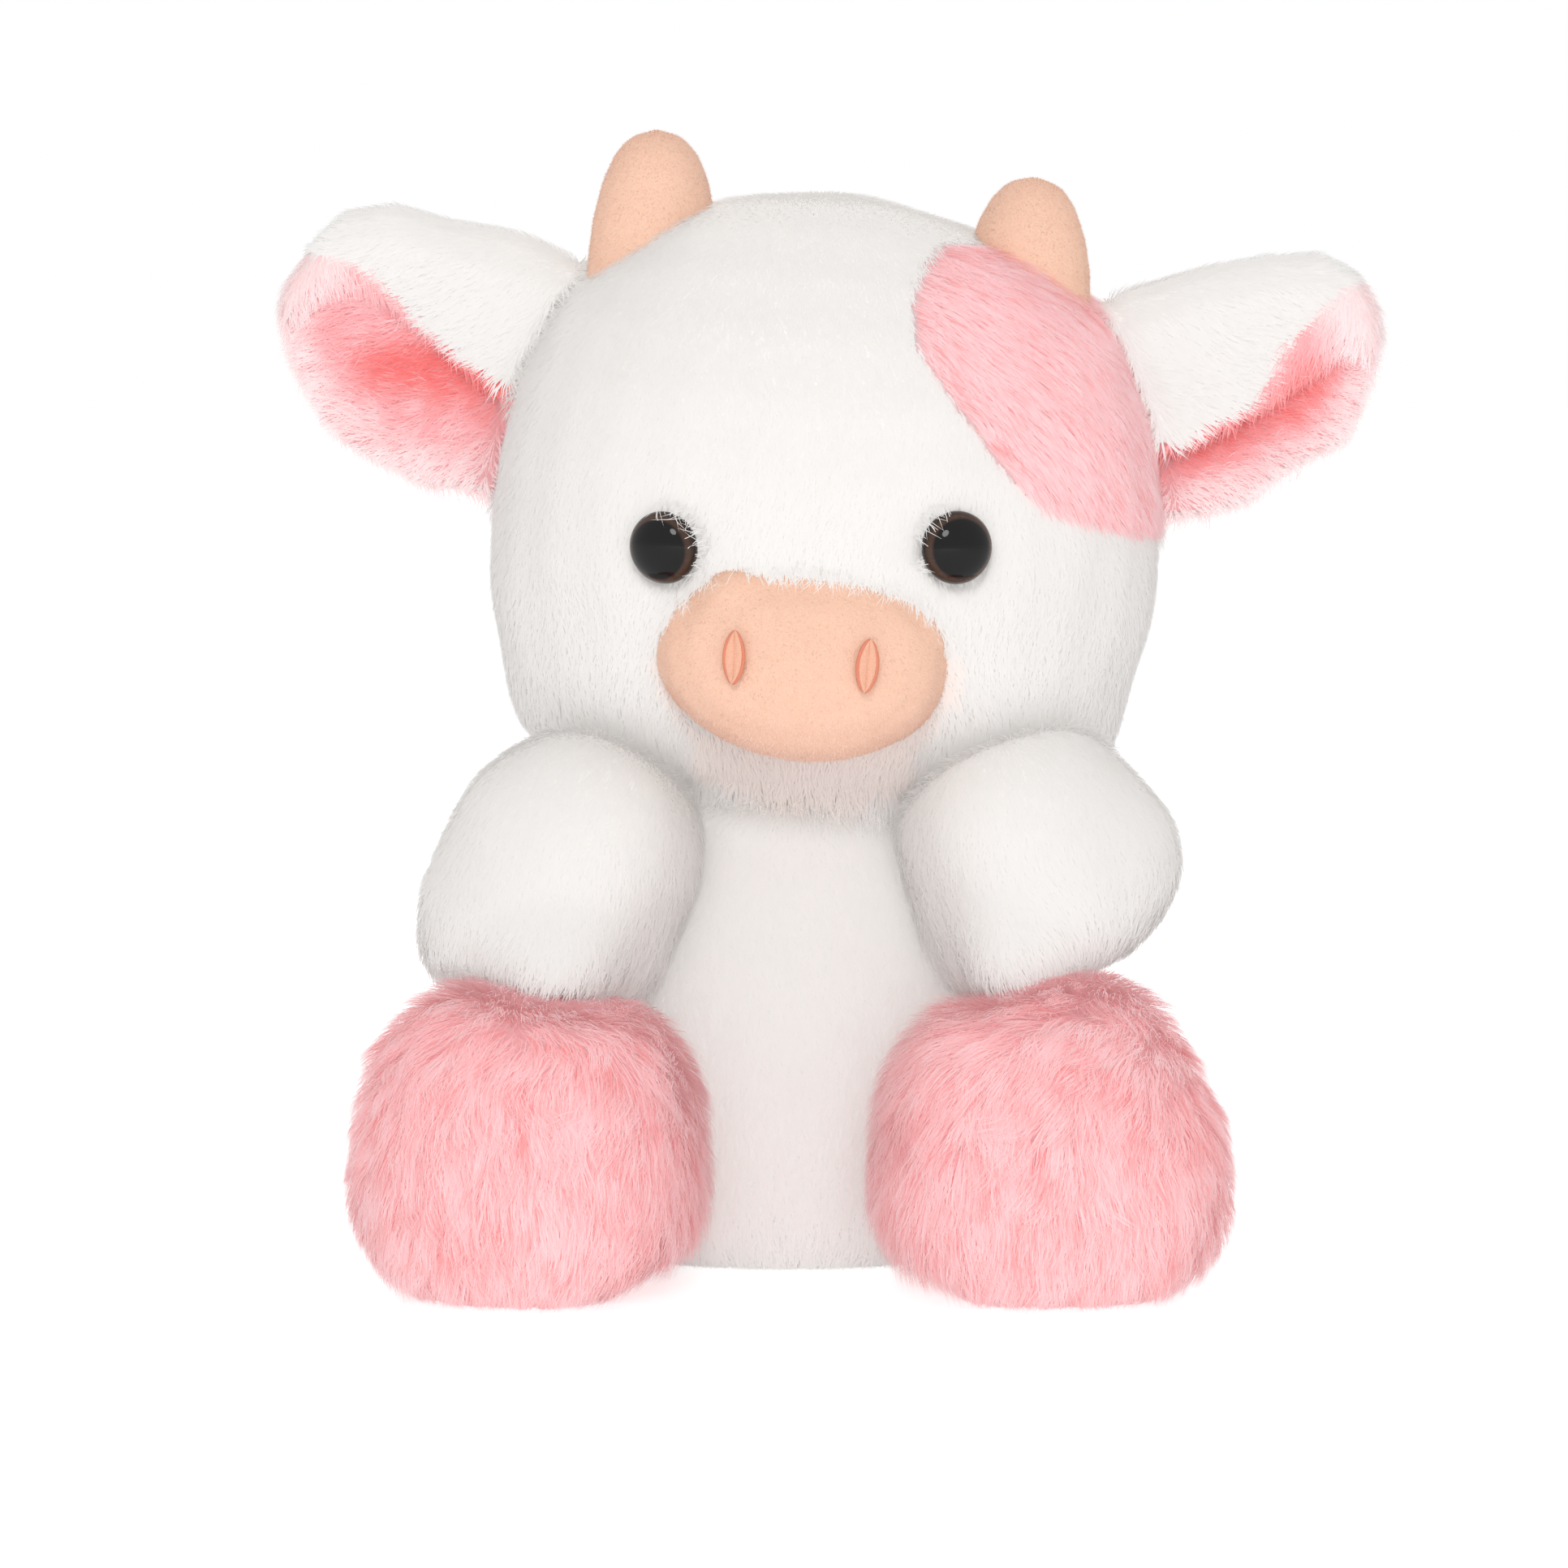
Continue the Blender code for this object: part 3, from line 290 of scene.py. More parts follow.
def node_surface(*names):
    """Corner points and triangles of CAD nodes, with the corners that meet made one."""
    points, faces, start = [], [], 0
    for name in names:
        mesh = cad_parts[name].data
        mesh.calc_loop_triangles()
        corners = np.empty(len(mesh.vertices) * 3)
        mesh.vertices.foreach_get("co", corners)
        sides = np.empty(len(mesh.loop_triangles) * 3, dtype=np.int32)
        mesh.loop_triangles.foreach_get("vertices", sides)
        points.append(corners.reshape(-1, 3))
        faces.append(sides.reshape(-1, 3) + start)
        start += len(mesh.vertices)
    points, faces = np.vstack(points), np.vstack(faces)
    _, first, back = np.unique(
        np.round(points * 1e7).astype(np.int64), axis=0, return_index=True, return_inverse=True)
    faces = back.reshape(-1)[faces]
    whole = (faces[:, 0] != faces[:, 1]) & (faces[:, 1] != faces[:, 2])
    whole &= faces[:, 0] != faces[:, 2]
    return points[first], faces[whole]


def hull_surface(points):
    """The tight wrapping of some points."""
    mesh = bmesh.new()
    for point in points:
        mesh.verts.new(point)
    bmesh.ops.convex_hull(mesh, input=mesh.verts)
    loose = [vert for vert in mesh.verts if not vert.link_faces]
    bmesh.ops.delete(mesh, geom=loose, context="VERTS")
    bmesh.ops.recalc_face_normals(mesh, faces=mesh.faces)
    mesh.verts.index_update()
    corners = np.array([vert.co[:] for vert in mesh.verts])
    faces = np.array([[vert.index for vert in face.verts] for face in mesh.faces])
    mesh.free()
    return corners, faces


class Form:
    """A sewn surface of points and four-sided faces."""

    def __init__(self, points, faces):
        self.points = points
        self.faces = faces
        pairs = np.vstack([faces[:, (k, (k + 1) % 4)] for k in range(4)])
        self.edges = np.unique(np.sort(pairs, axis=1), axis=0)
        self.triangles = np.vstack((faces[:, (0, 1, 2)], faces[:, (0, 2, 3)]))

    def normals(self):
        corners = self.points[self.faces]
        across = np.cross(corners[:, 2] - corners[:, 0], corners[:, 3] - corners[:, 1])
        total = np.zeros_like(self.points)
        for corner in range(4):
            for axis in range(3):
                total[:, axis] += np.bincount(
                    self.faces[:, corner], weights=across[:, axis], minlength=len(total))
        return unit(total)

    def spread(self, values, rounds):
        """Even out values given at the points."""
        first, second = self.edges.T
        count = len(self.points)
        meeting = np.maximum(np.bincount(self.edges.ravel(), minlength=count), 1)
        flat = values.reshape(count, -1).copy()
        for _ in range(rounds):
            for axis in range(flat.shape[1]):
                column = flat[:, axis]
                total = np.bincount(first, weights=column[second], minlength=count)
                total += np.bincount(second, weights=column[first], minlength=count)
                flat[:, axis] = (column + total / meeting) / 2
        return flat.reshape(values.shape)

    def push(self, distance):
        self.points = self.points + self.normals() * np.reshape(distance, (-1, 1))

    def shift(self, piece):
        """Give the form the small lumps of the real toy's stuffing."""
        for place, reach, way in SHIFTS[piece]:
            off = lengths((self.points / MM - place) / reach)
            self.points = self.points + fade(off, 0, 1)[:, None] * way * np.float64(MM)

    def settle(self):
        """Flatten what would reach the floor."""
        self.points[:, 2] = np.maximum(self.points[:, 2], FLOOR_GAP)


def linked(name, data):
    """A new object in the scene."""
    made = bpy.data.objects.new(name, data)
    bpy.context.scene.collection.objects.link(made)
    return made


def remeshed(points, faces, voxel):
    """An even mesh of four-sided faces over a closed surface."""
    mesh = bpy.data.meshes.new("rough")
    mesh.from_pydata(points.tolist(), [], faces.tolist())
    rough = linked("rough", mesh)
    grid = rough.modifiers.new("grid", "REMESH")
    grid.mode = "VOXEL"
    grid.voxel_size = voxel
    bpy.context.view_layer.update()
    fine = rough.evaluated_get(bpy.context.evaluated_depsgraph_get()).to_mesh()
    corners = np.empty(len(fine.vertices) * 3)
    fine.vertices.foreach_get("co", corners)
    sides = np.empty(len(fine.loops), dtype=np.int32)
    fine.loops.foreach_get("vertex_index", sides)
    bpy.data.objects.remove(rough, do_unlink=True)
    bpy.data.meshes.remove(mesh)
    return Form(corners.reshape(-1, 3), sides.reshape(-1, 4))


def tree_of(points, faces):
    return BVHTree.FromPolygons(points.tolist(), faces.tolist())


def outer_tree(points, faces):
    """The faces of a hollow cover that look away from its middle."""
    corners = points[faces]
    across = np.cross(corners[:, 1] - corners[:, 0], corners[:, 2] - corners[:, 0])
    middle = (points.min(axis=0) + points.max(axis=0)) / 2
    outer = dots(across, corners.mean(axis=1) - middle) > 0
    return tree_of(points, faces[outer])


def gaps(points, tree, reach):
    """Distance of each point from a surface, below zero inside it, no more than the reach."""
    found = np.full(len(points), reach)
    for index, point in enumerate(points):
        place, normal, _, distance = tree.find_nearest(point, reach)
        if place is not None:
            outside = (Vector(point) - place).dot(normal) >= 0
            found[index] = distance if outside else -distance
    return found


def sewn_form(nodes, voxel, rounds, inset, root=None):
    """The rounded form of a stuffed cover, a little inside its CAD nodes, with a hidden root."""
    points, faces = node_surface(*nodes)
    tree = outer_tree(points, faces)
    if root is not None:
        points, faces = hull_surface(np.vstack((points, points + root)))
        tree = tree_of(points, faces)
    form = remeshed(*hull_surface(points), voxel)
    form.points = form.spread(form.points, rounds)
    for _ in range(2):
        off = np.clip(gaps(form.points, tree, 8 * MM), -4 * MM, 6 * MM)
        form.push(-form.spread(off + inset, rounds // 2))
    form.settle()
    return form


def cloth_form(node, voxel, rounds):
    """The form of one thin cloth, as its CAD node has it."""
    form = remeshed(*node_surface(node), voxel)
    form.points = form.spread(form.points, rounds)
    return form


def surface_object(name, points, faces, look, corners=4):
    """A smooth mesh object from arrays."""
    mesh = bpy.data.meshes.new(name)
    mesh.vertices.add(len(points))
    mesh.vertices.foreach_set("co", np.ascontiguousarray(points, dtype=np.float32).ravel())
    mesh.loops.add(len(faces) * corners)
    mesh.loops.foreach_set("vertex_index", np.ascontiguousarray(faces, dtype=np.int32).ravel())
    mesh.polygons.add(len(faces))
    mesh.polygons.foreach_set("loop_start", np.arange(len(faces), dtype=np.int32) * corners)
    mesh.update(calc_edges=True)
    mesh.polygons.foreach_set("use_smooth", np.ones(len(faces), dtype=bool))
    mesh.materials.append(look)
    return linked(name, mesh)


def skin_object(name, form, look, body, nodes, thickness=BACKING):
    """The backing cloth of one cover, standing for its CAD nodes."""
    made = surface_object(name, form.points, form.faces, look)
    backing = made.modifiers.new("backing", "SOLIDIFY")
    backing.thickness = thickness
    backing.offset = -1
    finish(made, body, nodes)
    return made


def finish(made, body, nodes=()):
    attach(made, body)
    if nodes:
        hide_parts(*nodes)


# Noise

def lumps(points, size, seed):
    """Smooth noise from -1 to 1, in lumps of the given size."""
    place = points / size + seed * 17.31
    low = np.floor(place).astype(np.int64)
    part = place - low
    part = part * part * (3 - 2 * part)
    total = np.zeros(len(points))
    for corner in range(8):
        step = np.array((corner & 1, corner >> 1 & 1, corner >> 2 & 1))
        cell = low + step
        mixed = cell[:, 0] * 73856093 ^ cell[:, 1] * 19349663 ^ cell[:, 2] * 83492791
        mixed = (mixed ^ seed * 2654435761) & 0xFFFFFFFF
        mixed = (mixed ^ mixed >> 15) * 2246822519 & 0xFFFFFFFF
        mixed = (mixed ^ mixed >> 13) * 3266489917 & 0xFFFFFFFF
        value = (mixed ^ mixed >> 16) / 0xFFFFFFFF * 2 - 1
        weight = np.where(step == 1, part, 1 - part).prod(axis=1)
        total += weight * value
    return total


# Pile

class Seeds:
    """Places of strands, spread evenly over a form."""

    def __init__(self, form, per_mm2, seed):
        self.chance = np.random.default_rng(seed)
        corners = form.points[form.triangles]
        across = np.cross(corners[:, 1] - corners[:, 0], corners[:, 2] - corners[:, 0])
        wanted = lengths(across) / 2 * 1e6 * per_mm2
        number = np.floor(wanted + self.chance.random(len(wanted))).astype(int)
        self.sides = form.triangles[np.repeat(np.arange(len(number)), number)]
        first, second = self.chance.random((2, len(self.sides)))
        turned = first + second > 1
        first, second = np.where(turned, 1 - first, first), np.where(turned, 1 - second, second)
        self.shares = np.stack((1 - first - second, first, second), axis=1)
        self.points = self.at(form.points)
        self.normals = unit(self.at(form.normals()))

    def at(self, values):
        """Values of the form's points, at the seeds."""
        corners = values[self.sides]
        if corners.ndim == 2:
            return (corners * self.shares).sum(axis=1)
        return (corners * self.shares[:, :, None]).sum(axis=1)

    def keep(self, chosen):
        """The seeds that are chosen."""
        kept = object.__new__(Seeds)
        kept.chance = self.chance
        kept.sides, kept.shares = self.sides[chosen], self.shares[chosen]
        kept.points, kept.normals = self.points[chosen], self.normals[chosen]
        return kept


def turned(vectors, axes, angles):
    """Vectors turned about axes at right angles to them."""
    return vectors * np.cos(angles)[:, None] + np.cross(axes, vectors) * np.sin(angles)[:, None]


def tufts(points, spacing, chance):
    """For each strand, the strand at the middle of its tuft."""
    count = max(1, int(len(points) * spacing))
    middles = np.sort(chance.choice(len(points), count, replace=False))
    tree = KDTree(count)
    for index, point in enumerate(points[middles]):
        tree.insert(point, index)
    tree.balance()
    nearest = np.array([tree.find(point)[1] for point in points])
    return middles[nearest]


def pile_object(name, seeds, flow, look, body, length, width, tone, steps=2, rise=0,
                lean=(64, 85), sway=16, tuft=0.3, tuft_share=0.12, streak=0.16, grain=0.12,
                shadows=False):
    """Strands of pile as thin ribbons, flat towards the light, that lie along the flow."""
    chance, count = seeds.chance, len(seeds.points)
    points, normals = seeds.points, seeds.normals
    along = laid(flow, normals)
    along = turned(along, normals, chance.normal(0, 1, count) * np.radians(sway))
    length = length * chance.uniform(0.78, 1.12, count)
    middle = tufts(points, tuft_share, chance)
    path = [points - normals * 0.25 * MM]
    for step in range(steps):
        angle = radians(lean[0] + (lean[1] - lean[0]) * step / max(steps - 1, 1))
        angle = angle * (1 - rise) + chance.normal(0, radians(4), count)
        heading = normals * np.cos(angle)[:, None] + along * np.sin(angle)[:, None]
        path.append(path[-1] + heading * (length / steps)[:, None])
    for step in range(1, steps + 1):
        pull = tuft * (step / steps) ** 1.5
        path[step] = path[step] + (path[step][middle] - path[step]) * pull
    for place in path:
        place[:, 2] = np.maximum(place[:, 2], FLOOR_GAP)
    side = unit(np.cross(along, normals))
    levels = []
    for step in range(steps):
        half = side * (width / 2 * (1 - TAPER * step / steps))
        levels += [path[step] - half, path[step] + half]
    levels.append(path[-1])
    corners = np.stack(levels, axis=1).reshape(-1, 3)
    per = 2 * steps + 1
    pattern = []
    for step in range(steps - 1):
        low = 2 * step
        pattern += [(low, low + 1, low + 3), (low, low + 3, low + 2)]
    pattern.append((per - 3, per - 2, per - 1))
    faces = (np.arange(count)[:, None, None] * per + np.array(pattern)).reshape(-1, 3)
    made = surface_object(name, corners, faces, look, 3)
    tone = tone + streak * chance.normal(0, 1, count)[middle] + grain * chance.normal(0, 1, count)
    paint_tones(made, np.clip(tone, 0.02, 0.98), faces, per, steps)
    soften(made, normals, path, per)
    made.visible_shadow = shadows
    finish(made, body)
    return made


def paint_tones(made, tone, faces, per, steps):
    """Tone across and height along each strand, for the pile's colours."""
    count = len(tone)
    heights = np.repeat(np.arange(steps + 1) / steps, 2)[:-1]
    sides = np.tile((-0.01, 0.01), steps + 1)[:-1]
    sides[-1] = 0
    place = np.empty((count, per, 2), dtype=np.float32)
    place[:, :, 0] = tone[:, None] + sides
    place[:, :, 1] = heights * 0.96 + 0.02
    layer = made.data.uv_layers.new(name=TONE_MAP)
    layer.data.foreach_set("uv", place.reshape(-1, 2)[faces.ravel()].ravel())


def soften(made, normals, path, per):
    """Shade the strands mostly like the rounded cloth that they stand on."""
    heading = unit(path[-1] - path[0])
    facing = laid(normals, heading)
    shaded = unit(
        normals * (1 - STRAND_SHADE) + facing * STRAND_SHADE + UP * LIFTED_SHADE)
    made.data.normals_split_custom_set_from_vertices(np.repeat(shaded, per, axis=0))


def downward(form, sideways=(0, 0), swirl=22, size=16 * MM, seed=1):
    """A flow down a form, with a slow swirl in it."""
    normals = form.normals()
    fall = -UP + np.array((*sideways, 0))
    crown = normals * np.array((1, 1, 0)) * 0.25
    along = laid(fall + crown, normals)
    return turned(along, normals, radians(swirl) * lumps(form.points, size, seed))


# Looks

def new_group(name, inputs, outputs):
    """An empty shader group with named inputs and outputs."""
    group = bpy.data.node_groups.new(name, "ShaderNodeTree")
    for label, kind, value in inputs:
        socket = group.interface.new_socket(label, in_out="INPUT", socket_type=kind)
        socket.default_value = value
    for label, kind in outputs:
        group.interface.new_socket(label, in_out="OUTPUT", socket_type=kind)
    return group, Nodes(group)


class Nodes:
    """Adds nodes to a tree and joins them, each input a value or another node's output."""

    def __init__(self, tree):
        self.tree = tree

    def add(self, kind, inputs=None, **settings):
        node = self.tree.nodes.new(kind)
        for key, value in settings.items():
            setattr(node, key, value)
        for key, value in (inputs or {}).items():
            if isinstance(value, bpy.types.NodeSocket):
                self.tree.links.new(value, node.inputs[key])
            else:
                node.inputs[key].default_value = value
        return node

    def maths(self, operation, *values, clamp=False):
        inputs = dict(enumerate(values))
        return self.add("ShaderNodeMath", inputs, operation=operation, use_clamp=clamp).outputs[0]

    def mix(self, share, first, second):
        """Mix two colours, which go into inputs 6 and 7 of the node."""
        inputs = {0: share, 6: first, 7: second}
        return self.add("ShaderNodeMix", inputs, data_type="RGBA").outputs[2]

    def noise(self, place, scale, detail=3):
        inputs = {"Vector": place, "Scale": scale, "Detail": detail}
        return self.add("ShaderNodeTexNoise", inputs).outputs[0]

    def finish_group(self, outputs):
        end = self.add("NodeGroupOutput")
        for label, value in outputs.items():
            self.tree.links.new(value, end.inputs[label])


def tone_group():
    """Pile colour by a strand's own tone and the height along it."""
    colour = "NodeSocketColor"
    group, nodes = new_group(
        "pile tones",
        [("Deep", colour, (0.5, 0.5, 0.5, 1)), ("Middle", colour, (0.8, 0.8, 0.8, 1)),
         ("Light", colour, (1, 1, 1, 1)), ("Root Shade", "NodeSocketFloat", 0.3)],
        [("Color", colour)])
    start = nodes.add("NodeGroupInput").outputs
    place = nodes.add("ShaderNodeUVMap", uv_map=TONE_MAP).outputs[0]
    parts = nodes.add("ShaderNodeSeparateXYZ", {0: place}).outputs
    low = nodes.maths("MULTIPLY", parts[0], 2, clamp=True)
    high = nodes.maths("MULTIPLY_ADD", parts[0], 2, -1, clamp=True)
    first = nodes.mix(low, start["Deep"], start["Middle"])
    second = nodes.mix(high, first, start["Light"])
    root = nodes.maths("SUBTRACT", 1, parts[1])
    shade = nodes.maths("MULTIPLY", nodes.maths("POWER", root, 2), start["Root Shade"])
    shaded = nodes.mix(shade, second, start["Deep"])
    nodes.finish_group({"Color": shaded})
    return group


def grain_group():
    """Fine uneven weave of a backing cloth: a colour share and a height."""
    group, nodes = new_group(
        "cloth grain", [("Size", "NodeSocketFloat", 1800.0)],
        [("Share", "NodeSocketFloat"), ("Height", "NodeSocketFloat")])
    start = nodes.add("NodeGroupInput").outputs
    place = nodes.add("ShaderNodeTexCoord").outputs["Object"]
    fine = nodes.noise(place, start["Size"])
    broad = nodes.noise(place, nodes.maths("MULTIPLY", start["Size"], 0.05))
    loops = nodes.add("ShaderNodeTexVoronoi", {"Vector": place, "Scale": start["Size"]}).outputs[0]
    share = nodes.maths("MULTIPLY_ADD", fine, 0.5, nodes.maths("MULTIPLY", broad, 0.5))
    height = nodes.maths("ADD", fine, loops)
    nodes.finish_group({"Share": share, "Height": height})
    return group


def group_of(make, name):
    return bpy.data.node_groups.get(name) or make()


def shader_material(name, roughness, settings=None):
    """A new material, its nodes and its shader, with the plain values set."""
    made = bpy.data.materials.new(name)
    made.use_nodes = True
    nodes = Nodes(made.node_tree)
    shader = made.node_tree.nodes["Principled BSDF"]
    shader.inputs["Roughness"].default_value = roughness
    for key, value in (settings or {}).items():
        shader.inputs[key].default_value = value
    return made, nodes, shader


def join(nodes, value, shader, key):
    nodes.tree.links.new(value, shader.inputs[key])


def opaque(colour):
    return (*colour, 1)


def pile_look(name, deep, middle, light, root_shade=0.35, sheen=0.25):
    """Look of strands of pile, with a painted glow on their back sides."""
    if name in bpy.data.materials:
        return bpy.data.materials[name]
    made, nodes, shader = shader_material(name, 0.85, {
        "Sheen Weight": sheen, "Sheen Roughness": 0.6, "Specular IOR Level": 0.15})
    inputs = {"Deep": opaque(deep), "Middle": opaque(middle), "Light": opaque(light),
              "Root Shade": root_shade}
    tones = nodes.add("ShaderNodeGroup", node_tree=group_of(tone_group, "pile tones"))
    for key, value in inputs.items():
        tones.inputs[key].default_value = value
    join(nodes, tones.outputs["Color"], shader, "Base Color")
    # Painted glow: strands seen from behind give off a share of their own colour as light
    behind = nodes.add("ShaderNodeNewGeometry").outputs["Backfacing"]
    through = nodes.maths("MULTIPLY", behind, BACKSIDE_GLOW)
    glow = nodes.mix(through, (0, 0, 0, 1), tones.outputs["Color"])
    join(nodes, glow, shader, "Emission Color")
    shader.inputs["Emission Strength"].default_value = 1
    return made


def cloth_look(name, dark, light, size=1800.0, bump=0.3, roughness=0.95):
    """Look of a knitted backing, a fibre filling or a plain cloth."""
    if name in bpy.data.materials:
        return bpy.data.materials[name]
    made, nodes, shader = shader_material(name, roughness, {
        "Sheen Weight": 0.1, "Specular IOR Level": 0.1})
    grain = nodes.add("ShaderNodeGroup", node_tree=group_of(grain_group, "cloth grain"))
    grain.inputs["Size"].default_value = size
    colour = nodes.mix(grain.outputs["Share"], opaque(dark), opaque(light))
    raised = nodes.add("ShaderNodeBump", {
        "Height": grain.outputs["Height"], "Strength": bump, "Distance": 0.2 * MM})
    join(nodes, colour, shader, "Base Color")
    join(nodes, raised.outputs[0], shader, "Normal")
    return made


def scaled(colour, share):
    return tuple(min(1, part * share) for part in colour)


def pile_settings():
    return bpy.context.scene.plush_pile


def white_looks():
    look = pile_settings()
    pile = pile_look("white_pile", look.white_shaded, scaled(look.white, 0.98), look.white, 0.12)
    return pile, cloth_look("white_backing", scaled(look.white, 0.94), scaled(look.white, 1.02))


def pink_looks():
    look = pile_settings()
    pile = pile_look("pink_pile", look.pink_dark_and_shaded, look.pink, look.pink_light, 0.36)
    return pile, cloth_look("pink_backing", scaled(look.pink, 0.75), scaled(look.pink, 0.9))


def filling_look():
    return cloth_look("fibre_filling", *FILLING_COLOURS, 600.0, 0.8)


def add_filling(node, body):
    """The loose fibre filling of one cover."""
    form = remeshed(*hull_surface(node_surface(node)[0]), STUFFING_VOXEL)
    form.points = form.spread(form.points, 12)
    form.push(lumps(form.points, 9 * MM, 5) * 0.4 * MM - 3 * MM)
    form.settle()
    made = surface_object(node + "_fibre", form.points, form.faces, filling_look())
    finish(made, body, (node,))


# Distances to what a cover touches

def solid_tree(*nodes):
    return tree_of(*hull_surface(node_surface(*nodes)[0]))


def away_from(form, *nodes, reach=REACH):
    """Distance of each point of a form from some CAD nodes, below zero inside them."""
    return gaps(form.points, solid_tree(*nodes), reach)


def nearest_gap(form, trees):
    """Distance of each point of a form from the nearest of its neighbours."""
    return np.min([gaps(form.points, tree, REACH) for tree in trees], axis=0)


def ramp(values, low, high):
    """0 below the low value, 1 above the high one, smooth between them."""
    share = np.clip((values - low) / (high - low), 0, 1)
    return share * share * (3 - 2 * share)


def fade(values, low, high):
    """1 below the low value, 0 above the high one, smooth between them."""
    return 1 - ramp(values, low, high)


def white_pile(name, form, body, gap, flow=None, tone=0.86, share=1.0, keep=None, seed=1,
               press=None, sway=16, rise=0.0, pile=None):
    """White plush over a cover, shorter where it is pressed, darker with painted shade in creases.
    """
    press = gap if press is None else press
    look = pile_settings()
    seeds = Seeds(form, look.white_density, seed)
    chosen = seeds.at(gap) > -1.5 * MM
    if keep is not None:
        chosen &= seeds.at(keep) > 0
    pressed = 0.3 + 0.3 * ramp(press, -1 * MM, 0) + 0.4 * ramp(press, 0, 4 * MM)
    share = np.broadcast_to(share, len(form.points)) * pressed
    # Painted shade: darker where the cover comes close to its neighbours
    tone = np.broadcast_to(tone, len(form.points)) - 0.2 * fade(gap, 0, 7 * MM)
    rise = np.broadcast_to(rise, len(form.points))
    sway = np.broadcast_to(sway, len(form.points))
    flow = downward(form, seed=seed) if flow is None else flow
    seeds = seeds.keep(chosen)
    return pile_object(
        name, seeds, seeds.at(flow), pile or white_looks()[0], body,
        look.white_length * seeds.at(share), look.white_width, seeds.at(tone),
        rise=seeds.at(rise), sway=seeds.at(sway), tuft=0.16, streak=0.03, grain=0.05)


# Operators

class PLUSHCOW_OT_body(bpy.types.Operator):
    """Make the stuffed body with its white pile, neck thread and pellet bag"""

    bl_idname = "plush_cow.body"
    bl_label = "Body"

    def execute(self, context):
        form = sewn_form(["body_cover"], 2 * MM, 36, 1.1 * MM)
        neck = away_from(form, "neck_thread", reach=8 * MM)
        form.push(1.2 * MM * fade(neck, 0, 6 * MM))
        skin_object("body_skin", form, white_looks()[1], "body", ["body_cover"])
        limbs = [solid_tree(name) for name in (
            "arm_left_cover", "arm_right_cover", "leg_left_cover", "leg_right_cover", "tail")]
        press = nearest_gap(form, limbs)
        head = away_from(form, "head_cover") + 1.5 * MM
        gap = np.minimum(press, head)
        gap = np.where(form.points[:, 2] < 1.5 * MM, -9 * MM, gap)
        low = ramp(form.points[:, 2], 0, 34 * MM)
        collar = fade(head, 0, 9 * MM)
        share = 1.15 + 0.25 * (1 - low) + 0.15 * lumps(form.points, 9 * MM, 12) + 0.5 * collar
        # Painted shade: darker towards the floor and under the head
        tone = 0.7 + 0.2 * low - 0.12 * collar
        white_pile("body_pile", form, "body", gap, tone=tone, share=share,
                   seed=11, press=press, sway=24, rise=0.25 * collar)
        add_filling("body_stuffing", "body")
        self.pellet_bag()
        self.neck_thread()
        return {"FINISHED"}

    def pellet_bag(self):
        form = remeshed(*hull_surface(node_surface("pellet_bag")[0]), 1.5 * MM)
        form.points = form.spread(form.points, 10)
        form.push(lumps(form.points, 3 * MM, 3) * 0.25 * MM - 0.4 * MM)
        look = cloth_look("pellet_cloth", *POUCH_COLOURS, 900.0, 0.8)
        made = surface_object("pellet_pouch", form.points, form.faces, look)
        finish(made, "body", ["pellet_bag"])

    def neck_thread(self):
        """The gathering thread, drawn into the crease under the pile."""
        points = node_surface("neck_thread")[0]
        middle = (points.min(axis=0) + points.max(axis=0)) / 2
        turn = np.arctan2(points[:, 1] - middle[1], points[:, 0] - middle[0])
        around = []
        for group in np.array_split(np.argsort(turn), NECK_STEPS):
            arm = points[group].mean(axis=0) - middle
            around.append(middle + arm * (1 - 2.6 * MM / np.linalg.norm(arm)))
        made = thread_line("neck_stitching", around, 0.45 * MM)
        made.data.materials.append(thread_look("neck_stitch_thread", NECK_THREAD))
        finish(made, "body", ["neck_thread"])


def thread_curve(name, radius):
    """An empty curve, round and as thick as a thread."""
    curve = bpy.data.curves.new(name, "CURVE")
    curve.dimensions = "3D"
    curve.bevel_depth = radius
    curve.bevel_resolution = 2
    return curve


def thread_line(name, places, radius):
    """A closed line of thread through some places."""
    curve = thread_curve(name, radius)
    spline = curve.splines.new("NURBS")
    spline.points.add(len(places) - 1)
    spline.use_cyclic_u = True
    spline.order_u = 3
    spline.resolution_u = 4
    for point, place in zip(spline.points, places):
        point.co = (*place, 1)
    return linked(name, curve)


def thread_look(name, colour):
    """Look of twisted thread."""
    if name in bpy.data.materials:
        return bpy.data.materials[name]
    made, nodes, shader = shader_material(name, 0.45, {"Specular IOR Level": 0.4})
    place = nodes.add("ShaderNodeTexCoord").outputs["Object"]
    grain = nodes.noise(place, 2500.0)
    broad = nodes.noise(place, 160.0)
    share = nodes.maths("MULTIPLY_ADD", grain, 0.6, nodes.maths("MULTIPLY", broad, 0.4))
    tone = nodes.mix(share, opaque(scaled(colour, 0.72)), opaque(scaled(colour, 1.15)))
    raised = nodes.add("ShaderNodeBump", {
        "Height": grain, "Strength": 0.5, "Distance": 0.08 * MM})
    join(nodes, tone, shader, "Base Color")
    join(nodes, raised.outputs[0], shader, "Normal")
    return made


